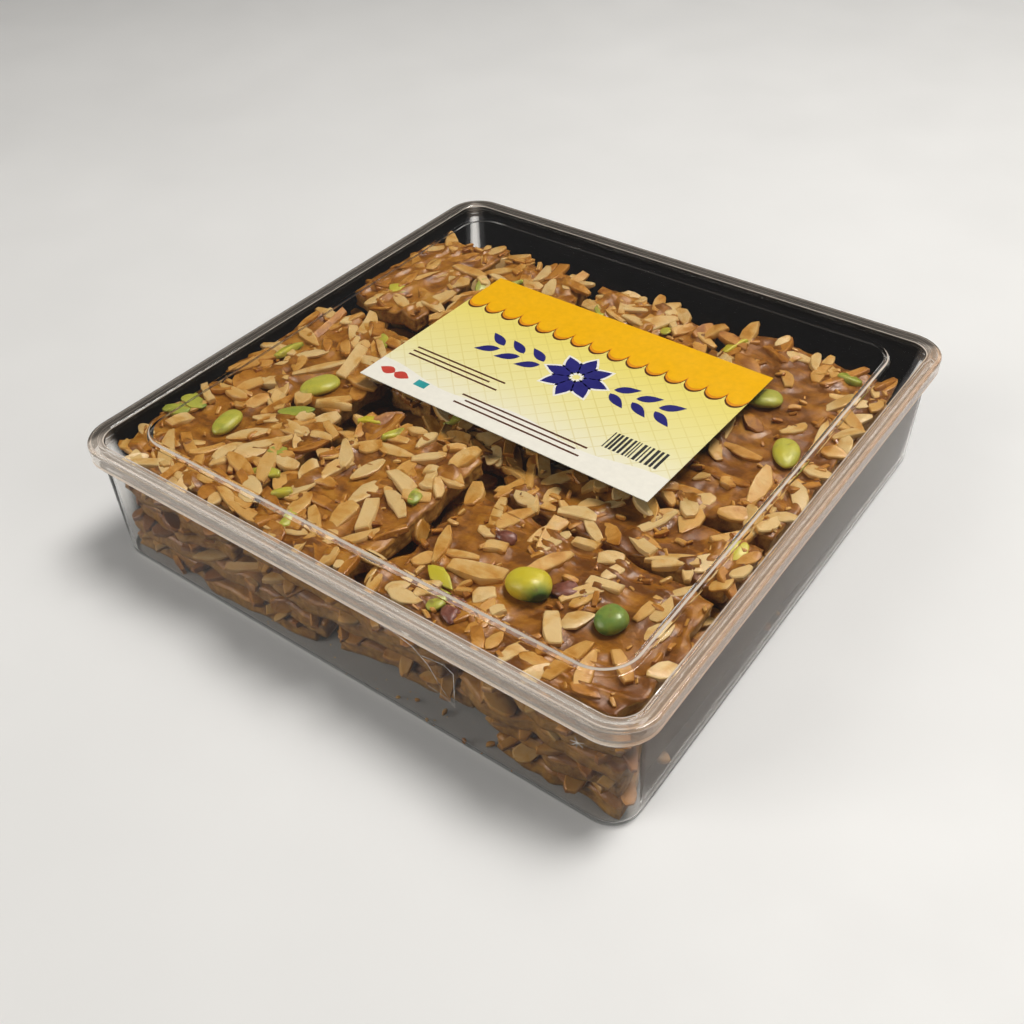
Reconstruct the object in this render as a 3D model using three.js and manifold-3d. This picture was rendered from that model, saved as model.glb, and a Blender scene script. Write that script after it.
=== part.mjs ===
// A shut, clear plastic box of sohan: thin brittle caramel slabs set with slivered
// almonds and pistachios, stacked in layers, with a paper label on the lid.
// Millimetres, +Z up. The origin is the middle of the underside of the tray.
// The box's front is towards -Y, its right side towards +X.

import * as THREE from 'three';
import { mergeVertices } from 'three/addons/utils/BufferGeometryUtils.js';
import Module from 'manifold-3d';

const wasm = await Module();
wasm.setup();

// ---------------------------------------------------------------- driving dimensions

const BOX_WIDTH = 220; // outside of the lid, square
const CORNER_RADIUS = 13.5; // of the lid's outside corners, in plan
const RIM_TOP = 48.9; // height of the lid's outer rim
const PANEL_TOP = 50.3; // height of the raised panel in the lid
const GAP = 0.3; // clearance between pieces that lie on each other

const HALF = BOX_WIDTH / 2;
const CORNER_STEPS = 4; // facets round each plan corner
const ROUND_STEPS = 3; // facets along a rounded edge

// Lid
const LID_WALL = 1.25;
const SKIRT_BOTTOM = 42.9;
const LEDGE_WIDTH = 5; // raised outer band of the lid
const MARGIN_TOP = 48.4; // flat between that band and the panel
const PANEL_INSET = 15; // panel edge, from the lid's outside
const PANEL_RADIUS = 12;
const PANEL_UNDER_RADIUS = 11;
const PANEL_BEVEL = 1.3;
const PANEL_EDGE_ROUND = 0.5;
const LID_EDGE_ROUND = 0.8;

// Tray
const TRAY_INSET = 3.3; // outside of the wall, from the lid's outside
const TRAY_WALL = 1.2;
const TRAY_DRAFT = 0.5; // how much the wall leans in at the foot
const TRAY_FLOOR = 1.3;
const TRAY_FOOT_ROUND = 3.2;
const FLANGE_INSET = 0.8; // outside of the bead under the lid's skirt
const FLANGE_THICK = 1.3;

// Label on the panel
const LABEL_SIZE = [120, 81.5];
const LABEL_THICK = 0.2;
const LABEL_CENTRE = [6, 12.9];
const LABEL_TURN = -1.4; // degrees
const LABEL_LIFT = 0.05;

// Slabs
const SLAB_CORNER_PULL = 0.09; // how far the broken corners draw in
const SLAB_EDGE_WAVE = 0.06; // depth of the broken outline, of the half width
const SLAB_EDGE_DRAW = 0.5; // how far that outline is drawn in on the whole, of its depth
const SLAB_EDGE_WAVES = [[5, 0.5], [9, 0.3], [17, 0.2]]; // waves round a slab, share of the depth
const SLAB_EDGE_FADE = 4; // power by which the broken outline fades towards the slab's middle
const SLAB_RELIEF = 0.55; // height of the ripples on top
const SLAB_RIPPLES = { x: [3.1, 0.5], y: [2.6, 0.3], across: [1.7, 0.2] }; // length, share
const TOP_SLAB_CELLS = 6;
const LOWER_SLAB_CELLS = 3;
const TOP_SLAB_THICK = 5.8;

// Lower layers: rows and columns of slabs inside the tray
const LOWER_LAYERS = 4;
const LAYER_PITCH = 8.1;
const LOWER_SLAB_THICK = 5.3;
const LOWER_SLAB_SLOPE = 0.4; // most that a corner stands higher than the lowest
const LOWER_START = 1.7;
const LAYER_SPAN = { left: -104.2, right: 104.2, front: -104.2, back: 86 };
const SLAB_GAP = 1.6;
// From left to right, parts of the span, for each layer from the floor up
const COLUMN_JOINTS = [[0.48, 0.78], [0.5, 0.76], [0.3, 0.72], [0.3, 0.74]];
const ROW_JOINTS = [0.33, 0.67]; // from front to back
const JOINT_SHIFT = 10; // how far the joints between slabs wander
// The lowest slabs lie back from the front wall, so that its foot is empty right of the middle.
// For each layer from the floor up: left, middle and right column, each at its left and right.
const FRONT_RETREAT = [
  [[0, 0], [1, 20], [0.5, 1]],
  [[0, 0], [0, 3], [0.5, 0]],
  [[0, 0], [0, 1], [0, 0]],
  [[0, 0], [0, 0], [0, 0]],
];
const EDGE_RETREAT = { left: 0.8, right: 1, front: 0.8, back: 9 }; // most at random, at the walls

// Almond slivers
const SLIVER_LONGEST = 20;
const SLIVER_SHORTEST = 10;
const SLIVER_SHORTFALL = 3; // most that one is shorter than its turn in line gives
const SLIVER_WIDTH = [2.6, 4];
const SLIVER_THICK = [1.7, 2.2];
const SLIVER_SINK = 0.25; // part of a sliver's thickness that is sunk in the caramel
const SLIVER_OVERHANG = 0.5;
const SLIVER_MARGIN = 0.86; // slivers' middles stay inside this part of the slab
const SPREAD_U = 0.7548776662; // steps of an even two-way spread
const SPREAD_V = 0.569840291;
const LEAST_SLOPE = 0.05; // below this a sliver counts as parallel to a slab's edge
// A sliver's outline, as parts of its length and width
const SLIVER_OUTLINE = [
  [-0.5, -0.1], [-0.2, -0.5], [0.3, -0.42], [0.5, 0.12], [0.15, 0.5], [-0.35, 0.34],
];

// Pistachios
const PISTACHIO_LIFT = 0.28; // middle above the slab, of its height
const PISTACHIO_FACETS = [10, 6]; // round it, and from end to end

// Seeds of the repeatable random numbers
const PHASE_SEED = 7919;
const SLIVER_SEED = 104729;
const LAYER_SEED = 4001;
const LAYER_SEED_STEP = 577;
const LOWER_SLAB_SEED = 200;
const LOWER_SLABS_PER_LAYER = 9;

// ---------------------------------------------------------------- the top layer, as it lies
// corners: front left, front right, back right, back left, each [x, y, height of the top].

const TOP_SLABS = [
  { name: 'slab_top_front_left', seed: 11, slivers: 17,
    corners: [[-103.6, -101, 41], [-45, -102, 41.5], [-45, -46, 42], [-103.6, -46, 42]] },
  { name: 'slab_top_front_middle', seed: 23, slivers: 18,
    corners: [[-43, -102, 40.8], [6, -103, 42.5], [9, -34, 44.5], [-42, -34, 42]] },
  { name: 'slab_top_front_right', seed: 37, slivers: 16,
    corners: [[8.5, -103, 40.8], [103.6, -103, 41.5], [103.6, -46, 42], [11.5, -46, 41.5]] },
  { name: 'slab_top_centre_right', seed: 41, slivers: 12,
    corners: [[15, -44, 40.5], [103.6, -44, 42.5], [103.6, -20, 42.5], [15, -20, 40]] },
  { name: 'slab_top_right', seed: 59, slivers: 27,
    corners: [[37, -18, 42], [103.6, -18, 42], [103, 84, 42.5], [37, 86, 43]] },
  { name: 'slab_top_left_middle', seed: 67, slivers: 15,
    corners: [[-103.6, -44, 42], [-51, -44, 42], [-52, 9, 43], [-103, 9, 43]] },
  { name: 'slab_top_back_left', seed: 73, slivers: 12,
    corners: [[-103.6, 20, 42.5], [-67, 18, 42.5], [-67, 84, 44.5], [-99, 72, 45]] },
  { name: 'slab_top_back_middle_left', seed: 83, slivers: 9,
    corners: [[-65, 21, 41.5], [-23, 21, 41], [-24, 80, 43], [-64, 82, 44]] },
  { name: 'slab_top_back_middle', seed: 97, slivers: 11,
    corners: [[-20, 21, 41], [35, 21, 41.5], [35, 78, 43], [-18, 83, 43.5]] },
  { name: 'slab_top_centre', seed: 101, slivers: 6,
    corners: [[-26, -31, 40], [13, -31, 40.5], [34, 18, 41], [-28, 18, 41]] },
  { name: 'slab_top_centre_left', seed: 113, slivers: 5,
    corners: [[-49, -20, 40.5], [-29, -20, 40.5], [-31, 18, 41], [-49, 18, 41]] },
];

// Pistachios large enough to be pieces of their own: where each lies, its length, width
// and height, and its turn in degrees.
const PISTACHIOS = [
  { name: 'pistachio_whole', on: 'slab_top_front_right', at: [52, -74], size: [14, 11.5, 9], turn: 20 },
  { name: 'pistachio_green', on: 'slab_top_front_right', at: [79, -72], size: [10.5, 9.5, 7], turn: 80 },
  { name: 'pistachio_half_left', on: 'slab_top_left_middle', at: [-68, -34], size: [15, 10, 5], turn: 65 },
  { name: 'pistachio_half_front', on: 'slab_top_front_left', at: [-80, -68], size: [14, 8, 5], turn: 100 },
  { name: 'pistachio_half_right', on: 'slab_top_right', at: [86, 24], size: [15, 9, 5], turn: 115 },
  { name: 'pistachio_half_back', on: 'slab_top_right', at: [66, 47], size: [14, 10, 5], turn: 30 },
];

// ---------------------------------------------------------------- small helpers

// Repeatable random numbers from 0 to 1
function makeRandom(seed) {
  const factor = 16807;
  const modulus = 2147483647;
  let state = seed;
  return () => {
    state = (state * factor) % modulus;
    return state / modulus;
  };
}

const between = (low, high, part) => low + (high - low) * part;
const radians = (degrees) => (degrees * Math.PI) / 180;

function solidOf(geometry) {
  const plain = geometry.clone();
  plain.deleteAttribute('normal');
  plain.deleteAttribute('uv');
  const merged = mergeVertices(plain, 1e-4);
  return new wasm.Manifold(new wasm.Mesh({
    numProp: 3,
    vertProperties: Float32Array.from(merged.attributes.position.array),
    triVerts: Uint32Array.from(merged.index.array),
  }));
}

function geometryOf(solid) {
  const mesh = solid.getMesh();
  const geometry = new THREE.BufferGeometry();
  geometry.setAttribute('position', new THREE.BufferAttribute(mesh.vertProperties.slice(), 3));
  geometry.setIndex(new THREE.BufferAttribute(mesh.triVerts.slice(), 1));
  geometry.computeVertexNormals();
  return geometry;
}

// Points round a square with round corners, centred on the origin, at one height.
function roundedSquareRing(halfWidth, radius, height) {
  const ring = [];
  const straight = halfWidth - radius;
  for (let corner = 0; corner < 4; corner += 1) {
    const middle = Math.PI / 4 + (corner * Math.PI) / 2;
    const cornerX = straight * Math.sign(Math.cos(middle));
    const cornerY = straight * Math.sign(Math.sin(middle));
    for (let step = 0; step <= CORNER_STEPS; step += 1) {
      const angle = (corner + step / CORNER_STEPS) * (Math.PI / 2);
      ring.push([cornerX + radius * Math.cos(angle), cornerY + radius * Math.sin(angle), height]);
    }
  }
  return ring;
}

// A closed shell from rings that run from the middle of its outside, round its edge,
// and back to the middle of its inside. Each profile point is [half width, radius, height].
function roundedSquareShell(profile) {
  const points = [];
  const faces = [];
  const perRing = 4 * (CORNER_STEPS + 1);
  for (const [halfWidth, radius, height] of profile) {
    points.push(...roundedSquareRing(halfWidth, radius, height));
  }
  for (let ring = 0; ring + 1 < profile.length; ring += 1) {
    for (let step = 0; step < perRing; step += 1) {
      const here = ring * perRing + step;
      const next = ring * perRing + ((step + 1) % perRing);
      faces.push(here, here + perRing, next, next, here + perRing, next + perRing);
    }
  }
  const first = points.length;
  const last = first + 1;
  points.push([0, 0, profile[0][2]], [0, 0, profile[profile.length - 1][2]]);
  const lastRing = (profile.length - 1) * perRing;
  for (let step = 0; step < perRing; step += 1) {
    const next = (step + 1) % perRing;
    faces.push(first, step, next);
    faces.push(last, lastRing + next, lastRing + step);
  }
  const geometry = new THREE.BufferGeometry();
  geometry.setAttribute('position', new THREE.Float32BufferAttribute(points.flat(), 3));
  geometry.setIndex(faces);
  geometry.computeVertexNormals();
  return geometry;
}

// A quarter arc of a profile, between two angles in degrees, as [half width, radius, height].
function profileArc(halfWidth, height, arcRadius, fromAngle, toAngle, planRadius, steps) {
  const points = [];
  for (let step = 0; step <= steps; step += 1) {
    const angle = radians(between(fromAngle, toAngle, step / steps));
    const reach = arcRadius * Math.cos(angle);
    points.push([halfWidth + reach, planRadius + reach, height + arcRadius * Math.sin(angle)]);
  }
  return points;
}

// ---------------------------------------------------------------- box

function lidGeometry() {
  const ledge = HALF - LEDGE_WIDTH;
  const ledgeRadius = CORNER_RADIUS - LEDGE_WIDTH;
  const panel = HALF - PANEL_INSET;
  const skirtInner = HALF - LID_WALL;
  const roundCentre = HALF - LID_EDGE_ROUND;
  const panelUnder = PANEL_TOP - LID_WALL;
  const step = RIM_TOP - MARGIN_TOP;
  return roundedSquareShell([
    [panel - PANEL_EDGE_ROUND, PANEL_RADIUS - PANEL_EDGE_ROUND, PANEL_TOP],
    [panel, PANEL_RADIUS, PANEL_TOP - PANEL_EDGE_ROUND / 2],
    [panel + PANEL_BEVEL, PANEL_RADIUS, MARGIN_TOP],
    [ledge, ledgeRadius, MARGIN_TOP],
    [ledge + step, ledgeRadius + step, RIM_TOP],
    ...profileArc(roundCentre, RIM_TOP - LID_EDGE_ROUND, LID_EDGE_ROUND, 90, 0,
      CORNER_RADIUS - LID_EDGE_ROUND, ROUND_STEPS),
    [HALF, CORNER_RADIUS, SKIRT_BOTTOM],
    [skirtInner, CORNER_RADIUS - LID_WALL, SKIRT_BOTTOM],
    [skirtInner, CORNER_RADIUS - LID_WALL, RIM_TOP - LID_WALL],
    [ledge, ledgeRadius, RIM_TOP - LID_WALL],
    [ledge - step, ledgeRadius - step, MARGIN_TOP - LID_WALL],
    [panel, PANEL_UNDER_RADIUS, MARGIN_TOP - LID_WALL],
    [panel - PANEL_BEVEL, PANEL_UNDER_RADIUS, panelUnder],
  ]);
}

function trayGeometry() {
  const wall = HALF - TRAY_INSET;
  const wallRadius = CORNER_RADIUS - TRAY_INSET;
  const foot = wall - TRAY_DRAFT;
  const inner = wall - TRAY_WALL;
  const innerRadius = wallRadius - TRAY_WALL;
  const flangeTop = SKIRT_BOTTOM - GAP;
  const flange = HALF - FLANGE_INSET;
  const rimTop = RIM_TOP - LID_WALL - GAP;
  const innerRound = TRAY_FOOT_ROUND - TRAY_WALL;
  const outside = [
    ...profileArc(foot - TRAY_FOOT_ROUND, TRAY_FOOT_ROUND, TRAY_FOOT_ROUND, -90, 0,
      wallRadius - TRAY_FOOT_ROUND, ROUND_STEPS),
    [wall, wallRadius, flangeTop - FLANGE_THICK],
    [flange, CORNER_RADIUS - FLANGE_INSET, flangeTop - FLANGE_THICK],
    [flange, CORNER_RADIUS - FLANGE_INSET, flangeTop],
    [wall, wallRadius, flangeTop],
    [wall, wallRadius, rimTop],
  ];
  const inside = [
    [inner, innerRadius, rimTop],
    ...profileArc(foot - TRAY_WALL - innerRound, TRAY_FLOOR + innerRound, innerRound, 0, -90,
      innerRadius - innerRound, ROUND_STEPS - 1),
  ];
  const geometry = roundedSquareShell([...outside, ...inside]);
  geometry.index.array.reverse(); // the rings start underneath, so the faces turn over
  return geometry;
}

function labelGeometry() {
  return new THREE.BoxGeometry(LABEL_SIZE[0], LABEL_SIZE[1], LABEL_THICK, 2, 2, 1);
}

// ---------------------------------------------------------------- slabs

const CORNER_SIGNS = [[-1, -1], [1, -1], [1, 1], [-1, 1]];

// A value at (u, v), each from -1 to 1, spread between four corner values.
function acrossCorners(values, u, v) {
  let total = 0;
  CORNER_SIGNS.forEach(([signU, signV], corner) => {
    total += (values[corner] * (1 + signU * u) * (1 + signV * v)) / 4;
  });
  return total;
}

function slabPhases(seed) {
  const random = makeRandom(seed * PHASE_SEED);
  return Array.from({ length: 6 }, () => random() * Math.PI * 2);
}

// Where a point (u, v) of a slab's square lies in plan: corners drawn in, outline broken.
function slabPlan(slab, u, v) {
  const angle = Math.atan2(v, u);
  let wave = 0;
  SLAB_EDGE_WAVES.forEach(([count, share], index) => {
    wave += share * Math.sin(count * angle + slab.phases[index]);
  });
  const reach = Math.max(Math.abs(u), Math.abs(v)) ** SLAB_EDGE_FADE;
  const ragged = 1 + reach * SLAB_EDGE_WAVE * (wave - SLAB_EDGE_DRAW);
  const inU = u * ragged * Math.sqrt(1 - SLAB_CORNER_PULL * v * v);
  const inV = v * ragged * Math.sqrt(1 - SLAB_CORNER_PULL * u * u);
  return [
    acrossCorners(slab.corners.map((corner) => corner[0]), inU, inV),
    acrossCorners(slab.corners.map((corner) => corner[1]), inU, inV),
  ];
}

function slabTop(slab, u, v) {
  const [x, y] = slabPlan(slab, u, v);
  const [, , , first, second, third] = slab.phases;
  const wave = ([length, share], distance, phase) => share * Math.sin(distance / length + phase);
  const ripple = wave(SLAB_RIPPLES.x, x, first) + wave(SLAB_RIPPLES.y, y, second)
    + wave(SLAB_RIPPLES.across, x - y, third);
  return acrossCorners(slab.corners.map((corner) => corner[2]), u, v) + SLAB_RELIEF * ripple;
}

function slabGeometry(slab, cells, thickness) {
  const geometry = new THREE.BoxGeometry(2, 2, 2, cells, cells, 1);
  const position = geometry.attributes.position;
  for (let index = 0; index < position.count; index += 1) {
    const u = position.getX(index);
    const v = position.getY(index);
    const upper = position.getZ(index) > 0;
    const [x, y] = slabPlan(slab, u, v);
    const base = acrossCorners(slab.corners.map((corner) => corner[2]), u, v) - thickness;
    position.setXYZ(index, x, y, upper ? slabTop(slab, u, v) : base);
  }
  return geometry;
}

// How long a sliver at (x, y) may be before it passes the slab's straight outline.
function longestInside(slab, x, y, turn, overhang) {
  const alongX = Math.cos(turn);
  const alongY = Math.sin(turn);
  let longest = Infinity;
  slab.corners.forEach(([fromX, fromY], corner) => {
    const [toX, toY] = slab.corners[(corner + 1) % 4];
    const side = Math.hypot(toX - fromX, toY - fromY);
    const normalX = -(toY - fromY) / side;
    const normalY = (toX - fromX) / side;
    const inside = (x - fromX) * normalX + (y - fromY) * normalY;
    const slope = Math.abs(alongX * normalX + alongY * normalY);
    longest = Math.min(longest, (2 * (inside + overhang)) / Math.max(slope, LEAST_SLOPE));
  });
  return longest;
}

// The almond slivers of a slab, longest first and evenly spread, clear of its pistachios.
function sliverPlaces(slab) {
  const random = makeRandom(slab.seed * SLIVER_SEED);
  const startU = random();
  const startV = random();
  const places = [];
  for (let index = 0; index < slab.slivers; index += 1) {
    const u = SLIVER_MARGIN * (((startU + index * SPREAD_U) % 1) * 2 - 1);
    const v = SLIVER_MARGIN * (((startV + index * SPREAD_V) % 1) * 2 - 1);
    const [x, y] = slabPlan(slab, u, v);
    const turn = random() * Math.PI;
    const wanted = between(SLIVER_LONGEST, SLIVER_SHORTEST, index / slab.slivers)
      - SLIVER_SHORTFALL * random();
    const width = between(...SLIVER_WIDTH, random());
    const thick = between(...SLIVER_THICK, random());
    const length = Math.min(wanted, longestInside(slab, x, y, turn, SLIVER_OVERHANG));
    const z = slabTop(slab, u, v) - SLIVER_SINK * thick;
    const blocked = slab.pistachios.some((nut) => (
      Math.hypot(nut.at[0] - x, nut.at[1] - y) < (nut.size[0] + length) / 2));
    if (!blocked && length > 2 * width) {
      places.push({ x, y, z, turn, length, width, thick });
    }
  }
  return places;
}

function sliverGeometry({ x, y, z, turn, length, width, thick }) {
  const outline = new THREE.Shape(
    SLIVER_OUTLINE.map(([along, across]) => new THREE.Vector2(along * length, across * width)),
  );
  const geometry = new THREE.ExtrudeGeometry(outline, { depth: thick, bevelEnabled: false });
  geometry.rotateZ(turn);
  geometry.translate(x, y, z);
  return geometry;
}

function pistachioGeometry(nut, slab, grow = 0) {
  const [length, width, height] = nut.size;
  const geometry = new THREE.SphereGeometry(1, ...PISTACHIO_FACETS);
  geometry.rotateX(Math.PI / 2);
  geometry.scale(length / 2 + grow, width / 2 + grow, height / 2 + grow);
  geometry.rotateZ(radians(nut.turn));
  geometry.translate(nut.at[0], nut.at[1], slabHeightAt(slab, ...nut.at) + height * PISTACHIO_LIFT);
  return geometry;
}

// The height of a slab's plain top, without ripples, at a point in plan.
function slabHeightAt(slab, x, y) {
  const [[left, front], , [right, back]] = slab.corners;
  const u = (2 * (x - left)) / (right - left) - 1;
  const v = (2 * (y - front)) / (back - front) - 1;
  return acrossCorners(slab.corners.map((corner) => corner[2]), u, v);
}

function slabSolid(slab, cells, thickness) {
  let solid = solidOf(slabGeometry(slab, cells, thickness));
  for (const place of sliverPlaces(slab)) {
    solid = solid.add(solidOf(sliverGeometry(place)));
  }
  for (const nut of slab.pistachios) {
    solid = solid.subtract(solidOf(pistachioGeometry(nut, slab, GAP)));
  }
  const pieces = solid.decompose().sort((one, other) => other.volume() - one.volume());
  return pieces[0]; // scraps of slivers cut loose by a pistachio's seat are dropped
}

// ---------------------------------------------------------------- lower layers

// Where a layer is broken across: three strips, their joints a little off the given parts.
function stripBounds(low, high, joints, random) {
  const [first, second] = joints.map((part) => (
    between(low, high, part) + (random() - 0.5) * JOINT_SHIFT));
  return [[low, first], [first, second], [second, high]];
}

function lowerSlabs() {
  const slabs = [];
  for (let layer = 0; layer < LOWER_LAYERS; layer += 1) {
    const random = makeRandom(LAYER_SEED + LAYER_SEED_STEP * layer);
    const base = LOWER_START + layer * LAYER_PITCH;
    const columns = stripBounds(LAYER_SPAN.left, LAYER_SPAN.right, COLUMN_JOINTS[layer], random);
    columns.forEach(([left, right], column) => {
      const rows = stripBounds(LAYER_SPAN.front, LAYER_SPAN.back, ROW_JOINTS, random);
      rows.forEach(([front, back], row) => {
        const side = SLAB_GAP / 2;
        const retreat = (at, most) => (at ? random() * most : 0);
        const edges = {
          left: left + side + retreat(column === 0, EDGE_RETREAT.left),
          right: right - side - retreat(column === 2, EDGE_RETREAT.right),
          front: front + side + retreat(row === 0, EDGE_RETREAT.front),
          back: back - side - retreat(row === 2, EDGE_RETREAT.back),
        };
        const [leftRetreat, rightRetreat] = row === 0 ? FRONT_RETREAT[layer][column] : [0, 0];
        const height = () => base + LOWER_SLAB_THICK + random() * LOWER_SLAB_SLOPE;
        slabs.push({
          name: `slab_layer${layer + 1}_${'lmr'[column]}${'fmb'[row]}`,
          seed: LOWER_SLAB_SEED + layer * LOWER_SLABS_PER_LAYER + column * 3 + row,
          slivers: column === 1 && row === 1 ? 0 : 2,
          corners: [
            [edges.left, edges.front + leftRetreat, height()],
            [edges.right, edges.front + rightRetreat, height()],
            [edges.right, edges.back, height()],
            [edges.left, edges.back, height()],
          ],
        });
      });
    });
  }
  return slabs;
}

// ---------------------------------------------------------------- assembly

const clearPlastic = new THREE.MeshStandardMaterial({
  color: 0xdfe2e4, roughness: 0.08, metalness: 0, transparent: true, opacity: 0.25,
});
const caramel = new THREE.MeshStandardMaterial({ color: 0x9a6430, roughness: 0.38, metalness: 0 });
const pistachioGreen = new THREE.MeshStandardMaterial({ color: 0x8c9636, roughness: 0.5, metalness: 0 });
const labelPaper = new THREE.MeshStandardMaterial({ color: 0xeed98a, roughness: 0.35, metalness: 0 });

function namedMesh(name, geometry, material) {
  const mesh = new THREE.Mesh(geometry, material);
  mesh.name = name;
  return mesh;
}

const group = new THREE.Group();
group.add(namedMesh('tray', trayGeometry(), clearPlastic));
group.add(namedMesh('lid', lidGeometry(), clearPlastic));

const label = namedMesh('label', labelGeometry(), labelPaper);
label.position.set(...LABEL_CENTRE, PANEL_TOP + LABEL_LIFT + LABEL_THICK / 2);
label.rotation.z = radians(LABEL_TURN);
group.add(label);

const contents = new THREE.Group();
for (const row of TOP_SLABS) {
  const pistachios = PISTACHIOS.filter((nut) => nut.on === row.name);
  const slab = { ...row, phases: slabPhases(row.seed), pistachios };
  const solid = slabSolid(slab, TOP_SLAB_CELLS, TOP_SLAB_THICK);
  contents.add(namedMesh(row.name, geometryOf(solid), caramel));
  for (const nut of pistachios) {
    contents.add(namedMesh(nut.name, pistachioGeometry(nut, slab), pistachioGreen));
  }
}
for (const row of lowerSlabs()) {
  const slab = { ...row, phases: slabPhases(row.seed), pistachios: [] };
  const solid = slabSolid(slab, LOWER_SLAB_CELLS, LOWER_SLAB_THICK);
  contents.add(namedMesh(row.name, geometryOf(solid), caramel));
}
group.add(contents);

export default group;
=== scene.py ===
"""The looks of a shut, clear plastic box of sohan: caramel slabs with slivered almonds
and pistachios, a printed label on the lid. Sizes are in millimetres, and MM turns them into
metres where a mesh or a material needs them. +Z up, the box's front towards -Y."""

import math

import bpy
import numpy as np
from mathutils import Euler, Matrix, Vector, noise


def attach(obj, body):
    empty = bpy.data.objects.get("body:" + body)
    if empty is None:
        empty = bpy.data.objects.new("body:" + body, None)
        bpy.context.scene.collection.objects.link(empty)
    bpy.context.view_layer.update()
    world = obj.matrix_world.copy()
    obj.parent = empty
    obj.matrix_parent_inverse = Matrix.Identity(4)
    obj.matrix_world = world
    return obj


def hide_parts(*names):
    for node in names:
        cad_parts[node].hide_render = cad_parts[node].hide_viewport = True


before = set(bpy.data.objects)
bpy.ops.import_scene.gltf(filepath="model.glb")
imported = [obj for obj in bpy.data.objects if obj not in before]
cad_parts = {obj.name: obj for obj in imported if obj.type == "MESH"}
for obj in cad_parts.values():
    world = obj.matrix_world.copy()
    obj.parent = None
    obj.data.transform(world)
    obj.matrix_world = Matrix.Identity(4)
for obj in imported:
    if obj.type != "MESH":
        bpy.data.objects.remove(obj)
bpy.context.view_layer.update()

MM = 0.001
ROOT = "root"

# ------------------------------------------------------------------ driving dimensions
# The box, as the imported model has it.
BOX_WIDTH = 220.0
HALF = BOX_WIDTH / 2
CORNER_RADIUS = 13.5
RIM_TOP = 48.9
PANEL_TOP = 50.3
GAP = 0.3
LID_WALL = 1.25
SKIRT_BOTTOM = 42.9
LEDGE_WIDTH = 5.0
MARGIN_TOP = 48.4
PANEL_INSET = 15.0
PANEL_RADIUS = 12.0
PANEL_BEVEL = 1.3
LID_EDGE_ROUND = 0.8
TRAY_INSET = 3.3
TRAY_WALL = 1.2
TRAY_DRAFT = 0.5
TRAY_FLOOR = 1.3
TRAY_FOOT_ROUND = 3.2
FLANGE_INSET = 0.8
FLANGE_THICK = 1.3

LABEL_SIZE = (120.0, 81.5)
LABEL_CENTRE = (6.0, 12.9)
LABEL_TURN = -1.4
LABEL_LIFT = 0.05
LABEL_THICK = 0.2
LABEL_TOP = PANEL_TOP + LABEL_LIFT + LABEL_THICK

# Slabs and slivers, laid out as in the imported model. Waves are (how many round a slab, share of
# the depth), ripples are (length, share) along x, along y and across.
SLAB_CORNER_PULL = 0.09
SLAB_EDGE_WAVE = 0.06
SLAB_EDGE_DRAW = 0.5
SLAB_EDGE_WAVES = ((5, 0.5), (9, 0.3), (17, 0.2))
SLAB_EDGE_FADE = 4
SLAB_RELIEF = 0.55
SLAB_RIPPLES = ((3.1, 0.5), (2.6, 0.3), (1.7, 0.2))
TOP_SLAB_THICK = 5.8
LOWER_LAYERS = 4
LAYER_PITCH = 8.1
LOWER_SLAB_THICK = 5.3
LOWER_SLAB_SLOPE = 0.4
LOWER_START = 1.7
LAYER_SPAN = {"left": -104.2, "right": 104.2, "front": -104.2, "back": 86.0}
SLAB_GAP = 1.6
COLUMN_JOINTS = ((0.48, 0.78), (0.5, 0.76), (0.3, 0.72), (0.3, 0.74))
ROW_JOINTS = (0.33, 0.67)
JOINT_SHIFT = 10.0
FRONT_RETREAT = (((0, 0), (1, 20), (0.5, 1)), ((0, 0), (0, 3), (0.5, 0)),
                 ((0, 0), (0, 1), (0, 0)), ((0, 0), (0, 0), (0, 0)))
EDGE_RETREAT = {"left": 0.8, "right": 1.0, "front": 0.8, "back": 9.0}
SLIVER_LONGEST = 20.0
SLIVER_SHORTEST = 10.0
SLIVER_SHORTFALL = 3.0
SLIVER_WIDTH = (2.6, 4.0)
SLIVER_THICK = (1.7, 2.2)
SLIVER_SINK = 0.25
SLIVER_OVERHANG = 0.5
SLIVER_MARGIN = 0.86
SPREAD_U = 0.7548776662
SPREAD_V = 0.569840291
LEAST_SLOPE = 0.05
PISTACHIO_LIFT = 0.28
LAYER_SEED = 4001
LAYER_SEED_STEP = 577
LOWER_SLAB_SEED = 200

# Each slab's rows of random numbers: its seed times the first number, plus the second. The
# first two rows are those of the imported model.
SEEDS = {"phases": (7919, 0), "slivers": (104729, 0), "tone": (271, 3), "folds": (613, 5),
         "extra": (31337, 17), "edges": (911, 71)}
SMALL_THINGS_SEED = 90210
STRIPES_SEED = 5501

# Room for the nuts: inside the walls, and under the lid, which is lower beyond the raised panel.
PANEL_CLEARANCE = 4.0
ROOF_CLEARANCE = 0.5
MARGIN_CLEARANCE = 0.3
WALL_CLEARANCE = 0.15
FLOOR_CLEARANCE = 0.1
PANEL_REACH = HALF - PANEL_INSET - PANEL_CLEARANCE
UNDER_PANEL = PANEL_TOP - LID_WALL - ROOF_CLEARANCE
UNDER_MARGIN = MARGIN_TOP - LID_WALL - MARGIN_CLEARANCE
WALL_REACH = HALF - TRAY_INSET - TRAY_WALL - TRAY_DRAFT - WALL_CLEARANCE

# Each octave of cloudy noise is finer than the last, by CLOUD_STEP, and weaker.
CLOUD_FALL = 0.9
CLOUD_STEP = 2.1
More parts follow.
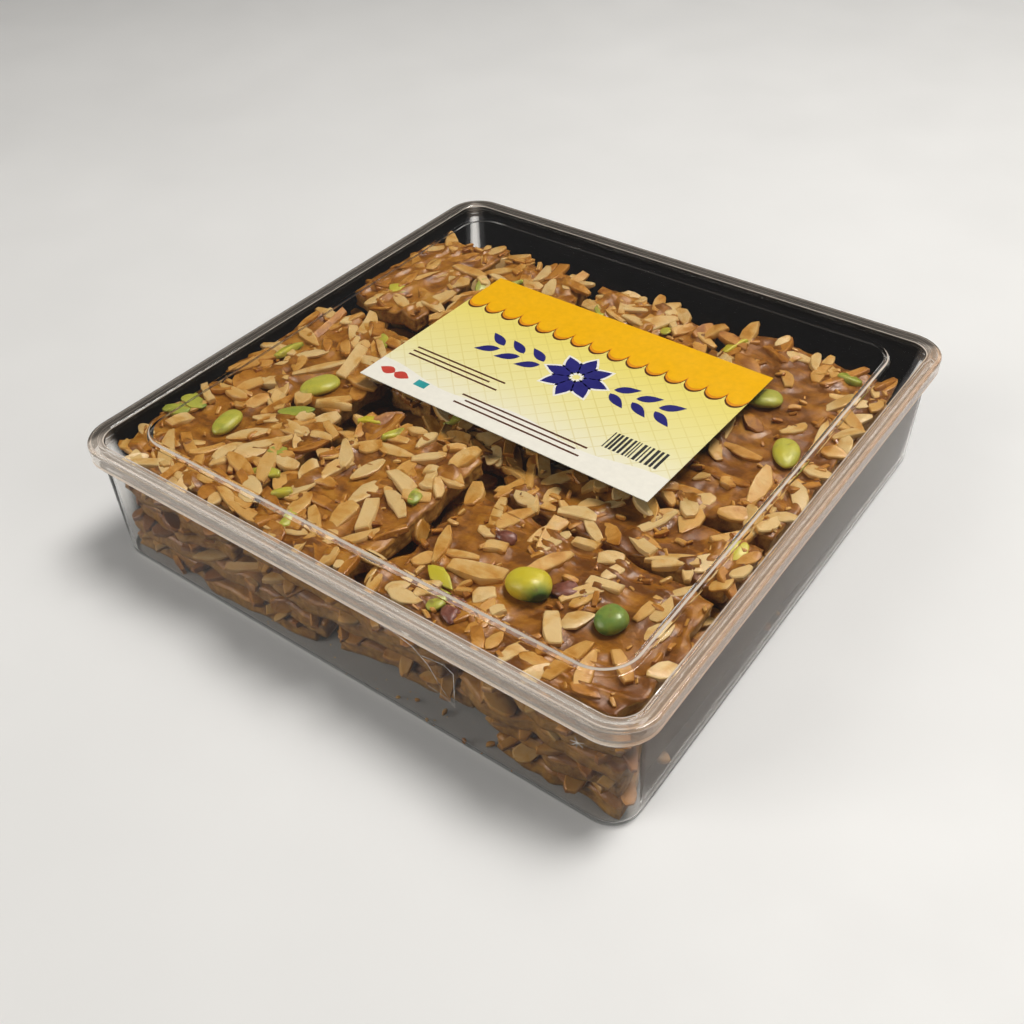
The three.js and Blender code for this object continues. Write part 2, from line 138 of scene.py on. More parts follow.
# The caramel's fine relief: height, wavelength and octaves of each noise.
TOP_CLOUDS = ((0.22, 5.5, 3), (0.07, 1.8, 2))
TOP_EDGE_DROP = 0.5
TOP_EDGE_REACH = 0.6
UNDERSIDE_LIFT = 0.25
UNDERSIDE_CLOUD = (0.25, 6.0, 2)
SIDE_CLOUD = (0.7, 2.2, 3)
SIDE_DRAW = 0.3
CARAMEL_CLIMB = 0.6  # beside a sliver
CARAMEL_CLIMB_REACH = 1.1
FOLD_AREA = 420  # square millimetres of slab for one small fold
FOLD_LENGTH = (6, 20)
FOLD_HEIGHT = (0.3, 0.8)
FOLD_WIDTH = (0.8, 1.8)
FOLD_END = 3.0
FOLD_WANDER = (1.2, 9.0, 2)

# Large folds, each from and to in plan, height and width.
FOLDS = {
    "slab_top_front_right": [
        ((22, -56), (92, -54), 1.3, 1.1), ((26, -59.5), (84, -58), 1.0, 0.9),
        ((20, -52), (70, -50.5), 1.2, 1.0), ((34, -63), (76, -62), 0.9, 1.2),
        ((60, -93), (98, -84), 1.3, 1.3), ((68, -98), (99, -92), 1.1, 1.2),
        ((15, -86), (36, -99), 0.9, 1.1)],
    "slab_top_back_left": [
        ((-99, 26), (-90, 66), 1.3, 1.3), ((-94, 22), (-84, 74), 1.1, 1.0),
        ((-88, 24), (-79, 60), 1.2, 1.4), ((-83, 40), (-74, 80), 1.0, 1.1),
        ((-77, 22), (-70, 62), 1.1, 1.2)],
}

# The camera, solved from the straight edges of the box in the photograph.
CAMERA_AZIMUTH = 37.12
CAMERA_ELEVATION = 41.10
CAMERA_ROLL = -1.66
CAMERA_DISTANCE = 429.1
CAMERA_SIDESTEP = (-7.14, -5.15)
CAMERA_LENS = 40.13
SENSOR_WIDTH = 36.0

TOP_SLABS = [
    ("slab_top_front_left", 11, 17,
     [(-103.6, -101, 41), (-45, -102, 41.5), (-45, -46, 42), (-103.6, -46, 42)]),
    ("slab_top_front_middle", 23, 18,
     [(-43, -102, 40.8), (6, -103, 42.5), (9, -34, 44.5), (-42, -34, 42)]),
    ("slab_top_front_right", 37, 16,
     [(8.5, -103, 40.8), (103.6, -103, 41.5), (103.6, -46, 42), (11.5, -46, 41.5)]),
    ("slab_top_centre_right", 41, 12,
     [(15, -44, 40.5), (103.6, -44, 42.5), (103.6, -20, 42.5), (15, -20, 40)]),
    ("slab_top_right", 59, 27,
     [(37, -18, 42), (103.6, -18, 42), (103, 84, 42.5), (37, 86, 43)]),
    ("slab_top_left_middle", 67, 15,
     [(-103.6, -44, 42), (-51, -44, 42), (-52, 9, 43), (-103, 9, 43)]),
    ("slab_top_back_left", 73, 12,
     [(-103.6, 20, 42.5), (-67, 18, 42.5), (-67, 84, 44.5), (-99, 72, 45)]),
    ("slab_top_back_middle_left", 83, 9,
     [(-65, 21, 41.5), (-23, 21, 41), (-24, 80, 43), (-64, 82, 44)]),
    ("slab_top_back_middle", 97, 11,
     [(-20, 21, 41), (35, 21, 41.5), (35, 78, 43), (-18, 83, 43.5)]),
    ("slab_top_centre", 101, 6,
     [(-26, -31, 40), (13, -31, 40.5), (34, 18, 41), (-28, 18, 41)]),
    ("slab_top_centre_left", 113, 5,
     [(-49, -20, 40.5), (-29, -20, 40.5), (-31, 18, 41), (-49, 18, 41)]),
]

# name, slab, place, length, width and height, turn in degrees, shade from yellow 0 to green 1
PISTACHIOS = [
    ("pistachio_whole", "slab_top_front_right", (52, -74), (14, 11.5, 9), 20, 0.06),
    ("pistachio_green", "slab_top_front_right", (79, -72), (10.5, 9.5, 7), 80, 0.75),
    ("pistachio_half_left", "slab_top_left_middle", (-68, -34), (15, 10, 5), 65, 0.32),
    ("pistachio_half_front", "slab_top_front_left", (-80, -68), (14, 8, 5), 100, 0.35),
    ("pistachio_half_right", "slab_top_right", (86, 24), (15, 9, 5), 115, 0.28),
    ("pistachio_half_back", "slab_top_right", (66, 47), (14, 10, 5), 30, 0.38),
]
# The dark green patch of the whole pistachio: its middle and how far it reaches.
GREEN_PATCH = {"pistachio_whole": ((58.2, -77.2, 42.8), 4.0)}


# ------------------------------------------------------------------ small helpers
def make_random(seed):
    """Repeatable numbers from 0 to 1."""
    state = seed

    def draw():
        nonlocal state
        state = (state * 16807) % 2147483647
        return state / 2147483647

    return draw


def between(low, high, part):
    return low + (high - low) * part


def swing(random, width):
    """A number about 0, within half the width either way."""
    return (random() - 0.5) * width


def mesh_piece(name, vertices, faces, material, smooth=True, tone=None):
    """A piece from vertices in millimetres. tone is one number a vertex, for its material."""
    mesh = bpy.data.meshes.new(name)
    mesh.from_pydata((np.asarray(vertices, float) * MM).tolist(), [], [list(f) for f in faces])
    mesh.polygons.foreach_set("use_smooth", [smooth] * len(mesh.polygons))
    if tone is not None:
        layer = mesh.attributes.new("tone", "FLOAT", "POINT")
        layer.data.foreach_set("value", np.asarray(tone, np.float32))
    mesh.materials.append(material)
    mesh.update()
    piece = bpy.data.objects.new(name, mesh)
    bpy.context.scene.collection.objects.link(piece)
    return piece


def finish_joined(piece):
    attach(piece, ROOT)


def tube_faces(rings, count, capped=True):
    """Faces between rings of as many points each, and over the first and the last ring."""
    faces = []
    for ring in range(rings - 1):
        for step in range(count):
            here = ring * count + step
            after = ring * count + (step + 1) % count
            faces.append((here, after, after + count, here + count))
    if capped:
        last = (rings - 1) * count
        faces += [tuple(reversed(range(count))), tuple(range(last, last + count))]
    return faces


class Joined:
    """Gathers many small meshes into one piece."""

    def __init__(self):
        self.vertices, self.faces, self.tones, self.count = [], [], [], 0

    def add(self, vertices, faces, tone=0.0):
        vertices = np.asarray(vertices, float)
        self.vertices.append(vertices)
        self.faces.extend([tuple(i + self.count for i in f) for f in faces])
        self.tones.append(np.broadcast_to(np.asarray(tone, float), (len(vertices),)))
        self.count += len(vertices)

    def piece(self, name, material, smooth=True):
        return mesh_piece(name, np.concatenate(self.vertices), self.faces, material, smooth,
                          np.concatenate(self.tones))


def relief(points, wave, shift):
    """Cloudy noise of a height, wavelength and number of octaves, at points. shift picks a cloud."""
    height, wavelength, octaves = wave
    offset = Vector((shift, shift * 0.7, -shift))
    heights = [noise.fractal(Vector(point) / wavelength + offset, CLOUD_FALL, CLOUD_STEP, octaves)
               for point in points]
    return height * np.array(heights)


# ------------------------------------------------------------------ materials
class Value:
    """What a node gives. It can be added to, taken from and multiplied."""

    def __init__(self, shader, socket):
        self.shader, self.socket = shader, socket

    def __add__(self, other):
        return self.shader.math("ADD", self, other)

    def __sub__(self, other):
        return self.shader.math("SUBTRACT", self, other)

    def __mul__(self, other):
        return self.shader.math("MULTIPLY", self, other)


class Shader:
    """A material's node tree, written out a node at a time."""

    def __init__(self, name):
        self.material = bpy.data.materials.new(name)
        self.material.use_nodes = True
        self.tree = self.material.node_tree
        self.tree.nodes.clear()
        self.place = self.node("ShaderNodeTexCoord", "Object")

    def node(self, kind, output=0, settings=None, **inputs):
        """Adds a node and gives one of its outputs. An input is named, or numbered as in i0."""
        made = self.tree.nodes.new(kind)
        for key, value in (settings or {}).items():
            setattr(made, key, value)
        for key, value in inputs.items():
            socket = made.inputs[int(key[1:]) if key[1:].isdigit() else key.replace("_", " ")]
            if isinstance(value, Value):
                self.tree.links.new(value.socket, socket)
            elif socket.type == "RGBA":
                socket.default_value = (*value, 1.0)
            else:
                socket.default_value = value
        return Value(self, made.outputs[output])

    def math(self, operation, first, second):
        return self.node("ShaderNodeMath", 0, {"operation": operation}, i0=first, i1=second)

    def largest(self, first, second):
        return self.math("MAXIMUM", first, second)

    def vector(self, operation, first, output=0, **others):
        return self.node("ShaderNodeVectorMath", output, {"operation": operation}, i0=first, **others)

    def split(self, vector):
        """The X, Y and Z of a vector."""
        parts = self.node("ShaderNodeSeparateXYZ", Vector=vector).socket.node.outputs
        return [Value(self, part) for part in parts]

    def noise(self, scale, detail=3.0, roughness=0.55, place=None, distortion=0.0):
        return self.node("ShaderNodeTexNoise", "Fac", Vector=place or self.place, Scale=scale,
                         Detail=detail, Roughness=roughness, Distortion=distortion)

    def stretched(self, scale, turn):
        """The place, scaled along each axis and turned by degrees."""
        return self.node("ShaderNodeMapping", Vector=self.place, Scale=scale,
                         Rotation=(0, 0, math.radians(turn)))

    def remap(self, value, low, high, to_low, to_high):
        return self.node("ShaderNodeMapRange", Value=value, i1=low, i2=high, i3=to_low, i4=to_high)

    def fade(self, value, start, end, to_start=0.0, to_end=1.0):
        """Changes from to_start to to_end as a length goes from start to end, in millimetres."""
        return self.remap(value, start * MM, end * MM, to_start, to_end)

    def band(self, value, low, high):
        """1 between two lengths, fading out beyond them."""
        return self.fade(value, low - LINE_EDGE, low) * self.fade(value, high, high + LINE_EDGE, 1.0, 0.0)

    def ramp(self, factor, *stops):
        """A colour for a value, from stops of value and colour."""
        colour = self.node("ShaderNodeValToRGB", Fac=factor)
        elements = colour.socket.node.color_ramp.elements
        while len(elements) < len(stops):
            elements.new(0.5)
        for element, (position, stop) in zip(elements, stops):
            element.position = position
            element.color = (*stop, 1.0)
        return colour

    def mix(self, factor, first, second):
        return self.node("ShaderNodeMix", "Result", {"data_type": "RGBA"}, Factor=factor, A=first, B=second)

    def layered(self, factor, first, second):
        """Two surfaces mixed."""
        return self.node("ShaderNodeMixShader", i0=factor, i1=first, i2=second)

    def rounded_reach(self, radius):
        """How far out a point is, along rings of rounded squares with their corners at this radius."""
        straight = (HALF - radius) * MM
        past = self.vector("SUBTRACT", self.vector("ABSOLUTE", self.place), i1=(straight, straight, 10.0))
        past = self.vector("MAXIMUM", past, i1=(0, 0, 0))
        return self.vector("LENGTH", past, "Value") + straight

    def attribute(self, name):
        return self.node("ShaderNodeAttribute", "Fac", {"attribute_name": name})

    def bump(self, height, strength, distance, **under):
        return self.node("ShaderNodeBump", Height=height, Strength=strength, Distance=distance, **under)

    def principled(self, **inputs):
        return self.node("ShaderNodeBsdfPrincipled", **inputs)

    def finish(self, surface):
        output = self.tree.nodes.new("ShaderNodeOutputMaterial")
        self.tree.links.new(surface.socket, output.inputs["Surface"])
        return self.material


def caramel_material():
    """Set caramel: satin gloss, amber where it is thin, milky tan where it is thick, crumbly
    where it snapped. tone: below 0 darker, above 0 paler."""
    s = Shader("sohan_caramel")
    cloud = s.noise(75, 5, 0.62, distortion=0.6)
    streak = s.noise(1, 3, 0.6, place=s.stretched((60, 260, 160), 25))
    speck = s.noise(620, 2, 0.5)
    depth = cloud * 0.75 + streak * 0.4 + s.attribute("tone") * 0.3 + speck * 0.1
    smooth = s.ramp(depth,
                    (0.46, (0.175, 0.055, 0.004)),
                    (0.57, (0.350, 0.130, 0.010)),
                    (0.68, (0.490, 0.210, 0.022)),
                    (0.86, (0.580, 0.305, 0.058)))
    crumb = s.ramp(s.noise(420, 4, 0.7), (0.35, (0.280, 0.105, 0.010)), (0.65, (0.640, 0.340, 0.075)))
    upward = s.split(s.node("ShaderNodeNewGeometry", "Normal"))[2]
    snapped = s.remap(upward, 0.65, 0.25, 0.0, 1.0)
    ripple = s.bump(s.noise(150, 3, 0.6), 0.4, 0.0010)
    return s.finish(s.principled(
        Base_Color=s.mix(snapped * 0.75, smooth, crumb),
        Roughness=s.remap(s.noise(140, 2), 0.35, 0.7, 0.30, 0.52) + snapped * 0.25,
        Normal=s.bump(s.noise(800, 3, 0.6), 0.3, 0.0004, Normal=ripple),
        Subsurface_Weight=0.2, Subsurface_Radius=(1.0, 0.4, 0.1), Subsurface_Scale=0.0025,
        Coat_Weight=0.05, Coat_Roughness=0.1, IOR=1.38))


def almond_material():
    """Toasted almond, cream where cut, golden under the glaze. tone: 0 glazed to 1 cream."""
    s = Shader("almond")
    cloud = s.noise(260, 3, 0.6)
    smear = s.noise(120, 3, 0.6, distortion=0.5)
    fibre = s.noise(1, 2, 0.5, place=s.stretched((400, 1500, 900), 40))
    toast = s.attribute("tone") * 0.7 + cloud * 0.4 + fibre * 0.1 - s.remap(smear, 0.50, 0.66, 0.0, 0.28)
    return s.finish(s.principled(
        Base_Color=s.ramp(toast,
                          (0.05, (0.300, 0.100, 0.007)),
                          (0.26, (0.500, 0.200, 0.018)),
                          (0.44, (0.640, 0.310, 0.058)),
                          (0.62, (0.710, 0.400, 0.105)),
                          (0.90, (0.810, 0.565, 0.245))),
        Roughness=s.remap(smear, 0.4, 0.65, 0.52, 0.34),
        Normal=s.bump(s.noise(1, 2, 0.5, place=s.stretched((500, 900, 1400), 40)), 0.3, 0.0004),
        Subsurface_Weight=0.15, Subsurface_Radius=(1.0, 0.6, 0.3), Subsurface_Scale=0.0015,
        Coat_Weight=0.08, Coat_Roughness=0.2, IOR=1.42))


def skin_material():
    """Papery almond skin, dark red brown and wrinkled."""
    s = Shader("almond_skin")
    wrinkle = s.noise(1, 3, 0.6, place=s.stretched((300, 1600, 900), 15))
    return s.finish(s.principled(
        Base_Color=s.ramp(s.noise(300, 3, 0.6), (0.3, (0.11, 0.026, 0.016)), (0.7, (0.27, 0.085, 0.050))),
        Roughness=s.remap(s.noise(200, 2), 0.3, 0.7, 0.25, 0.45),
        Normal=s.bump(wrinkle, 0.5, 0.0005), Coat_Weight=0.3, Coat_Roughness=0.15))


def pistachio_material():
    """Pistachio kernel, with bits of brown skin on all but the yellow one. tone: 0 yellow to 1
    deep green."""
    s = Shader("pistachio")
    tone = s.attribute("tone")
    cloud = s.noise(260, 3, 0.6)
    blotch = s.remap(s.noise(75, 2, 0.5, distortion=0.6), 0.52, 0.62, 0.0, 0.5)
    kernel = s.ramp(tone + (cloud - 0.5) * 0.4 + blotch * tone,
                    (0.0, (0.720, 0.580, 0.020)),
                    (0.3, (0.560, 0.520, 0.060)),
                    (0.6, (0.300, 0.360, 0.045)),
                    (0.85, (0.110, 0.220, 0.035)),
                    (1.0, (0.025, 0.060, 0.012)))
    skin = s.remap(s.noise(150, 3, 0.6, distortion=0.8), 0.60, 0.68, 0.0, 0.55)
    return s.finish(s.principled(
        Base_Color=s.mix(skin * s.remap(tone, 0.1, 0.3, 0.0, 1.0), kernel, (0.20, 0.11, 0.05)),
        Roughness=s.remap(cloud, 0.3, 0.7, 0.32, 0.5), Normal=s.bump(s.noise(500, 3), 0.35, 0.0005),
        Subsurface_Weight=0.1, Subsurface_Radius=(0.6, 0.8, 0.2), Subsurface_Scale=0.0015,
        Coat_Weight=0.12, Coat_Roughness=0.15, IOR=1.44))


# The clear plastic's zones: each fades in between two lengths, measured from the box's middle
# (reach is measured along rings of rounded squares) or up from its underside.
RIM_REACH = (104.5, 105.6)
RIM_HEIGHT = (40.5, 42.0)
RIM_TOP_FACE = (47.8, 48.4)
SKIRT_FACE = (108.0, 108.5)
RIGHT_WALL = (104.0, 105.5)
BACK_WALL = (104.0, 105.0)
LEFT_WALL = (-104.0, -105.0)
LEFT_WALL_START = (-100.0, -96.0)
FLOOR_HEIGHT = (1.6, 0.6)
FLOOR_FRONT = (-86.0, -96.0)
DARK_RIM = (104.0, 105.4)
# Painted highlights: bright fine milky lines on the ridge, the rim's top and the skirt, standing in for
# light caught by these edges. Each is from, to, and how milky.
RIDGE_HIGHLIGHT = (95.0, 95.4, 1.0)
RIM_HIGHLIGHTS = ((104.7, 105.0, 0.7), (106.4, 106.6, 0.4), (108.6, 109.0, 0.6), (109.6, 111.0, 0.35))
SKIRT_HIGHLIGHTS = ((42.8, 43.7, 0.85), (45.4, 45.6, 0.3))
LINE_EDGE = 0.1
# Tints of the plastic itself, and the dust and scuffs on it. The dark tints are painted shade: near black,
# they stand in for the dark surroundings seen through the clear plastic.
CLEAR_TINT = (0.97, 0.965, 0.955)
CLEAR_LAMP_TINT = (0.96, 0.96, 0.96)
PAINTED_SHADE_TINT = (0.004, 0.004, 0.0045)
DARK_LAMP_TINT = (0.25, 0.25, 0.26)
RIM_PAINTED_SHADE_TINT = (0.06, 0.06, 0.057)
WARM_DUST = (0.80, 0.70, 0.60)
WALL_DUST = (0.70, 0.50, 0.35)
# Painted: the front of the tray's floor gets a grey layer over its painted shade, standing in for the grey
# surface seen through it.
FLOOR_PAINTED_GREY = (0.62, 0.63, 0.63)
PLAIN_HAZE = 0.002
WALL_HAZE = 0.062
RIM_HAZE = 0.19
# How much of the front of the tray's floor is painted grey.
FLOOR_PAINTED_GREY_SHARE = 0.9
# The share of the haze that is left on the dark parts.
HAZE_ON_DARK_WALL = 0.02
HAZE_ON_DARK_RIM = 0.4


def clear_material(name, index, level, is_tray=False):
    """Rigid clear plastic. Lamps shine through. Its rim and +X wall are scuffed and milky, and painted
    highlights run as fine milky lines along the ridge, the rim's top and the skirt. The tray's floor,
    back and left wall and the lid's back and left rim carry painted shade: a near-black tint that
    stands in for dark surroundings seen through them. The front of the tray's floor is painted grey
    over that."""
    s = Shader(name)
    x, y, z = s.split(s.place)
    reach = s.rounded_reach(CORNER_RADIUS)
    ridge = s.rounded_reach(PANEL_INSET + PANEL_RADIUS)
    scratch = s.noise(1, 4, 0.7, place=s.stretched((30, 900, 30), 33))
    dirt = s.noise(45, 4, 0.65) * 0.7 + scratch * 0.3
    rim = s.fade(reach, *RIM_REACH) * s.fade(z, *RIM_HEIGHT)
    haze_and_painted_light = s.largest(s.fade(x, *RIGHT_WALL, PLAIN_HAZE, WALL_HAZE), rim * RIM_HAZE)
    haze_and_painted_light = haze_and_painted_light * s.remap(dirt, 0.35, 0.65, 0.75, 1.2)
    # Painted highlights: fine milky lines along the ridge, the rim's top and the skirt stand in for light
    # caught by these edges.
    for value, (low, high, painted_highlight) in [(ridge, RIDGE_HIGHLIGHT)] + [(reach, line) for line in RIM_HIGHLIGHTS]:
        haze_and_painted_light = s.largest(haze_and_painted_light, s.band(value, low, high) * s.fade(z, *RIM_TOP_FACE, 0.0, painted_highlight))
    for low, high, painted_highlight in SKIRT_HIGHLIGHTS:
        haze_and_painted_light = s.largest(haze_and_painted_light, s.band(z, low, high) * s.fade(reach, *SKIRT_FACE, 0.0, painted_highlight))
    dust_and_painted_grey_tint = s.mix(s.fade(x, *RIGHT_WALL), WARM_DUST, WALL_DUST)
    lamp_tint = CLEAR_LAMP_TINT
    if is_tray:
        # Painted shade: the tray's back wall, left wall and floor are tinted near black for the dark
        # surroundings seen through them, and lamps pass them dimmed.
        left = s.fade(x, *LEFT_WALL) * s.fade(y, *LEFT_WALL_START)
        floor = s.fade(z, *FLOOR_HEIGHT)
        dark = s.largest(s.largest(s.fade(y, *BACK_WALL), left), floor)
        tint = s.mix(dark, CLEAR_TINT, PAINTED_SHADE_TINT)
        lamp_tint = s.mix(dark, CLEAR_LAMP_TINT, DARK_LAMP_TINT)
        haze_and_painted_light = haze_and_painted_light * s.remap(dark, 0.0, 1.0, 1.0, HAZE_ON_DARK_WALL)
        # Painted grey over the painted shade at the front of the tray's floor, for the surface seen through
        # it.
        haze_and_painted_light = s.largest(haze_and_painted_light, floor * s.fade(y, *FLOOR_FRONT, 0.0, FLOOR_PAINTED_GREY_SHARE))
        dust_and_painted_grey_tint = s.mix(floor, dust_and_painted_grey_tint, FLOOR_PAINTED_GREY)
    else:
        # Painted shade: the lid's back and left rim are tinted dark grey for the dark surroundings seen
        # through them.
        dark = s.fade(s.largest(y, x * -1.0), *DARK_RIM)
        tint = s.mix(dark, CLEAR_TINT, RIM_PAINTED_SHADE_TINT)
        haze_and_painted_light = haze_and_painted_light * s.remap(dark, 0.0, 1.0, 1.0, HAZE_ON_DARK_RIM)
    glass = s.principled(Base_Color=tint, Roughness=0.012, Transmission_Weight=1.0, IOR=index,
                         Normal=s.bump(s.noise(9, 2), 0.12, 0.002), Specular_IOR_Level=level)
    dust_and_painted_light = s.principled(Base_Color=dust_and_painted_grey_tint, Roughness=0.6)
    passing = s.node("ShaderNodeBsdfTransparent", Color=lamp_tint)
    for_lamps = s.node("ShaderNodeLightPath", "Is Shadow Ray")
    return s.finish(s.layered(for_lamps, s.layered(haze_and_painted_light, glass, dust_and_painted_light), passing))


TRELLIS = 5.2  # across one printed diamond


def label_material():
    """Coated paper, cream below and pale yellow above, with a fine trellis printed on it."""
    s = Shader("label_paper")
    inside = s.vector("FRACTION", s.stretched((1 / (TRELLIS * MM),) * 3, 45 - LABEL_TURN))
    off_middle = s.vector("ABSOLUTE", s.vector("SUBTRACT", inside, i1=(0.5, 0.5, 0.5)))
    across, along, _ = s.split(off_middle)
    line = s.remap(s.largest(across, along), 0.44, 0.48, 0.0, 0.5)
    field = s.ramp(s.fade(s.split(s.place)[1], -24, 30),
                   (0.0, (0.84, 0.81, 0.67)), (0.45, (0.82, 0.75, 0.34)), (1.0, (0.81, 0.69, 0.17)))
    worn = s.remap(s.noise(14, 1), 0.35, 0.65, 0.4, 1.0)
    return s.finish(s.principled(
        Base_Color=s.mix(line * worn, field, (0.62, 0.50, 0.10)),
        Roughness=s.remap(s.noise(60, 2), 0.3, 0.7, 0.3, 0.42),
        Normal=s.bump(s.noise(2500, 2), 0.1, 0.0001), Coat_Weight=0.2, Coat_Roughness=0.15))


def ink_material(name, colour, spread):
    """Printing ink. spread is how much its depth varies."""
    s = Shader(name)
    shade = s.remap(s.noise(420, 3, 0.6), 0.3, 0.7, 1.0 - spread, 1.0 + spread)
    return s.finish(s.principled(
        Base_Color=s.vector("SCALE", colour, Scale=shade),
        Roughness=s.remap(s.noise(80, 2), 0.3, 0.7, 0.28, 0.4), Coat_Weight=0.3, Coat_Roughness=0.12))


def crack_material():
    """The whitish edge of a crack in clear plastic, see-through in places."""
    s = Shader("crack_edge")
    edge = s.principled(
        Base_Color=s.ramp(s.noise(500, 2), (0.3, (0.55, 0.50, 0.44)), (0.7, (0.85, 0.80, 0.72))),
        Roughness=s.remap(s.noise(900, 2), 0.3, 0.7, 0.15, 0.3), IOR=1.45)
    shown = s.remap(s.noise(260, 2), 0.4, 0.6, 0.4, 0.95)
    return s.finish(s.layered(shown, s.node("ShaderNodeBsdfTransparent"), edge))


def floor_material():
    s = Shader("pale_floor")
    return s.finish(s.principled(
        Base_Color=s.ramp(s.noise(6, 4), (0.3, (0.80, 0.80, 0.79)), (0.7, (0.84, 0.84, 0.83))),
        Roughness=s.remap(s.noise(20, 3), 0.3, 0.7, 0.5, 0.65)))


CARAMEL = caramel_material()
ALMOND = almond_material()
PISTACHIO = pistachio_material()
SKIN = skin_material()
CRACK_EDGE = crack_material()
LID_PLASTIC = clear_material("clear_lid", 1.42, 0.2)
TRAY_PLASTIC = clear_material("clear_tray", 1.16, 0.22, is_tray=True)


# ------------------------------------------------------------------ the clear box
CORNER_STEPS = 14
SMALL_ROUND = 0.3  # along the lid's foot and inside its rim
PANEL_EDGE_ROUND = 0.4
RISE = 0.2  # reach of a small step's fillet
BOX_SHARP = math.radians(38)


def rounded_square_ring(half_width, radius, height):
    ring = []
    straight = half_width - radius
    for corner in range(4):
        middle = math.pi / 4 + corner * math.pi / 2
        centre = (math.copysign(straight, math.cos(middle)), math.copysign(straight, math.sin(middle)))
        for step in range(CORNER_STEPS + 1):
            angle = (corner + step / CORNER_STEPS) * math.pi / 2
            ring.append((centre[0] + radius * math.cos(angle), centre[1] + radius * math.sin(angle), height))
    return ring


def profile_arc(half_width, height, arc_radius, from_angle, to_angle, plan_radius, steps):
    """Points of a section along an arc: half width, plan radius of the corners, height."""
    points = []
    for step in range(steps + 1):
        angle = math.radians(between(from_angle, to_angle, step / steps))
        reach = arc_radius * math.cos(angle)
        points.append((half_width + reach, plan_radius + reach, height + arc_radius * math.sin(angle)))
    return points


def lid_profile():
    """The lid's section, from the middle of its top outward, round the skirt's foot and back."""
    ledge = HALF - LEDGE_WIDTH
    ledge_radius = CORNER_RADIUS - LEDGE_WIDTH
    panel = HALF - PANEL_INSET
    skirt_inner = HALF - LID_WALL
    skirt_radius = CORNER_RADIUS - LID_WALL
    step = RIM_TOP - MARGIN_TOP
    foot = SMALL_ROUND
    edge = PANEL_EDGE_ROUND
    return [
        *profile_arc(panel - edge, PANEL_TOP - edge, edge, 90, 30, PANEL_RADIUS - edge, 4),
        (panel + PANEL_BEVEL - RISE, PANEL_RADIUS, MARGIN_TOP + 0.15),
        (panel + PANEL_BEVEL + RISE, PANEL_RADIUS, MARGIN_TOP),
        (ledge - RISE / 2, ledge_radius, MARGIN_TOP),
        (ledge + RISE / 2, ledge_radius + RISE / 2, MARGIN_TOP + 0.08),
        (ledge + step, ledge_radius + step, RIM_TOP - 0.05),
        (ledge + step + RISE, ledge_radius + step + RISE, RIM_TOP),
        *profile_arc(HALF - LID_EDGE_ROUND, RIM_TOP - LID_EDGE_ROUND, LID_EDGE_ROUND, 90, 0,
                     CORNER_RADIUS - LID_EDGE_ROUND, 6),
        *profile_arc(HALF - foot, SKIRT_BOTTOM + foot, foot, 0, -90, CORNER_RADIUS - foot, 3),
        *profile_arc(skirt_inner + foot, SKIRT_BOTTOM + foot, foot, -90, -180, skirt_radius + foot, 3),
        (skirt_inner, skirt_radius, RIM_TOP - LID_WALL - foot),
        (skirt_inner - foot, skirt_radius - foot, RIM_TOP - LID_WALL),
        (ledge, ledge_radius, RIM_TOP - LID_WALL),
        (ledge - step, ledge_radius - step, MARGIN_TOP - LID_WALL),
        (panel, PANEL_RADIUS - 1, MARGIN_TOP - LID_WALL),
        (panel - PANEL_BEVEL, PANEL_RADIUS - 1, PANEL_TOP - LID_WALL),
    ]


def tray_profile():
    """The tray's section, from the middle of its underside outward, over the rim and back."""
    wall = HALF - TRAY_INSET
    wall_radius = CORNER_RADIUS - TRAY_INSET
    foot = wall - TRAY_DRAFT
    inner_radius = wall_radius - TRAY_WALL
    flange_top = SKIRT_BOTTOM - GAP
    flange = HALF - FLANGE_INSET
    flange_radius = CORNER_RADIUS - FLANGE_INSET
    rim_top = RIM_TOP - LID_WALL - GAP
    inner_round = TRAY_FOOT_ROUND - TRAY_WALL
    bead = FLANGE_THICK / 2
    lip = TRAY_WALL / 2
    fillet = 0.4
    return [
        *profile_arc(foot - TRAY_FOOT_ROUND, TRAY_FOOT_ROUND, TRAY_FOOT_ROUND, -90, 0,
                     wall_radius - TRAY_FOOT_ROUND, 8),
        (wall, wall_radius, flange_top - FLANGE_THICK - fillet),
        (wall + fillet, wall_radius + fillet, flange_top - FLANGE_THICK),
        *profile_arc(flange - bead, flange_top - bead, bead, -90, 90, flange_radius - bead, 6),
        (wall + RISE / 2, wall_radius + RISE / 2, flange_top),
        (wall, wall_radius, flange_top + RISE),
        *profile_arc(wall - lip, rim_top - lip, lip, 0, 180, wall_radius - lip, 6),
        *profile_arc(foot - TRAY_WALL - inner_round, TRAY_FLOOR + inner_round, inner_round, 0, -90,
                     inner_radius - inner_round, 6),
    ]


def box_piece(name, profile, starts_on_top, material):
    """A closed shell of rounded squares along a profile, flat over its first and last ring."""
    vertices = [point for place in profile for point in rounded_square_ring(*place)]
    faces = tube_faces(len(profile), 4 * (CORNER_STEPS + 1))
    if starts_on_top:
        faces = [face[::-1] for face in faces]
    piece = mesh_piece(name, vertices, faces, material)
    for face in piece.data.polygons[-2:]:
        face.use_smooth = False
    piece.data.set_sharp_from_angle(angle=BOX_SHARP)
    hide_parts(name.replace("_shell", ""))
    finish_joined(piece)


# ------------------------------------------------------------------ slabs
CORNER_SIGNS = ((-1, -1), (1, -1), (1, 1), (-1, 1))
LEAST_CELLS = 6


def across_corners(values, u, v):
    """A value at (u, v), each from -1 to 1, spread between four corner values."""
    return sum(value * (1 + signs[0] * u) * (1 + signs[1] * v) / 4
               for value, signs in zip(values, CORNER_SIGNS))


def spread_out(start, step, index, margin):
    """The next of a row of evenly spread numbers, within a margin about 0."""
    return margin * (((start + index * step) % 1) * 2 - 1)


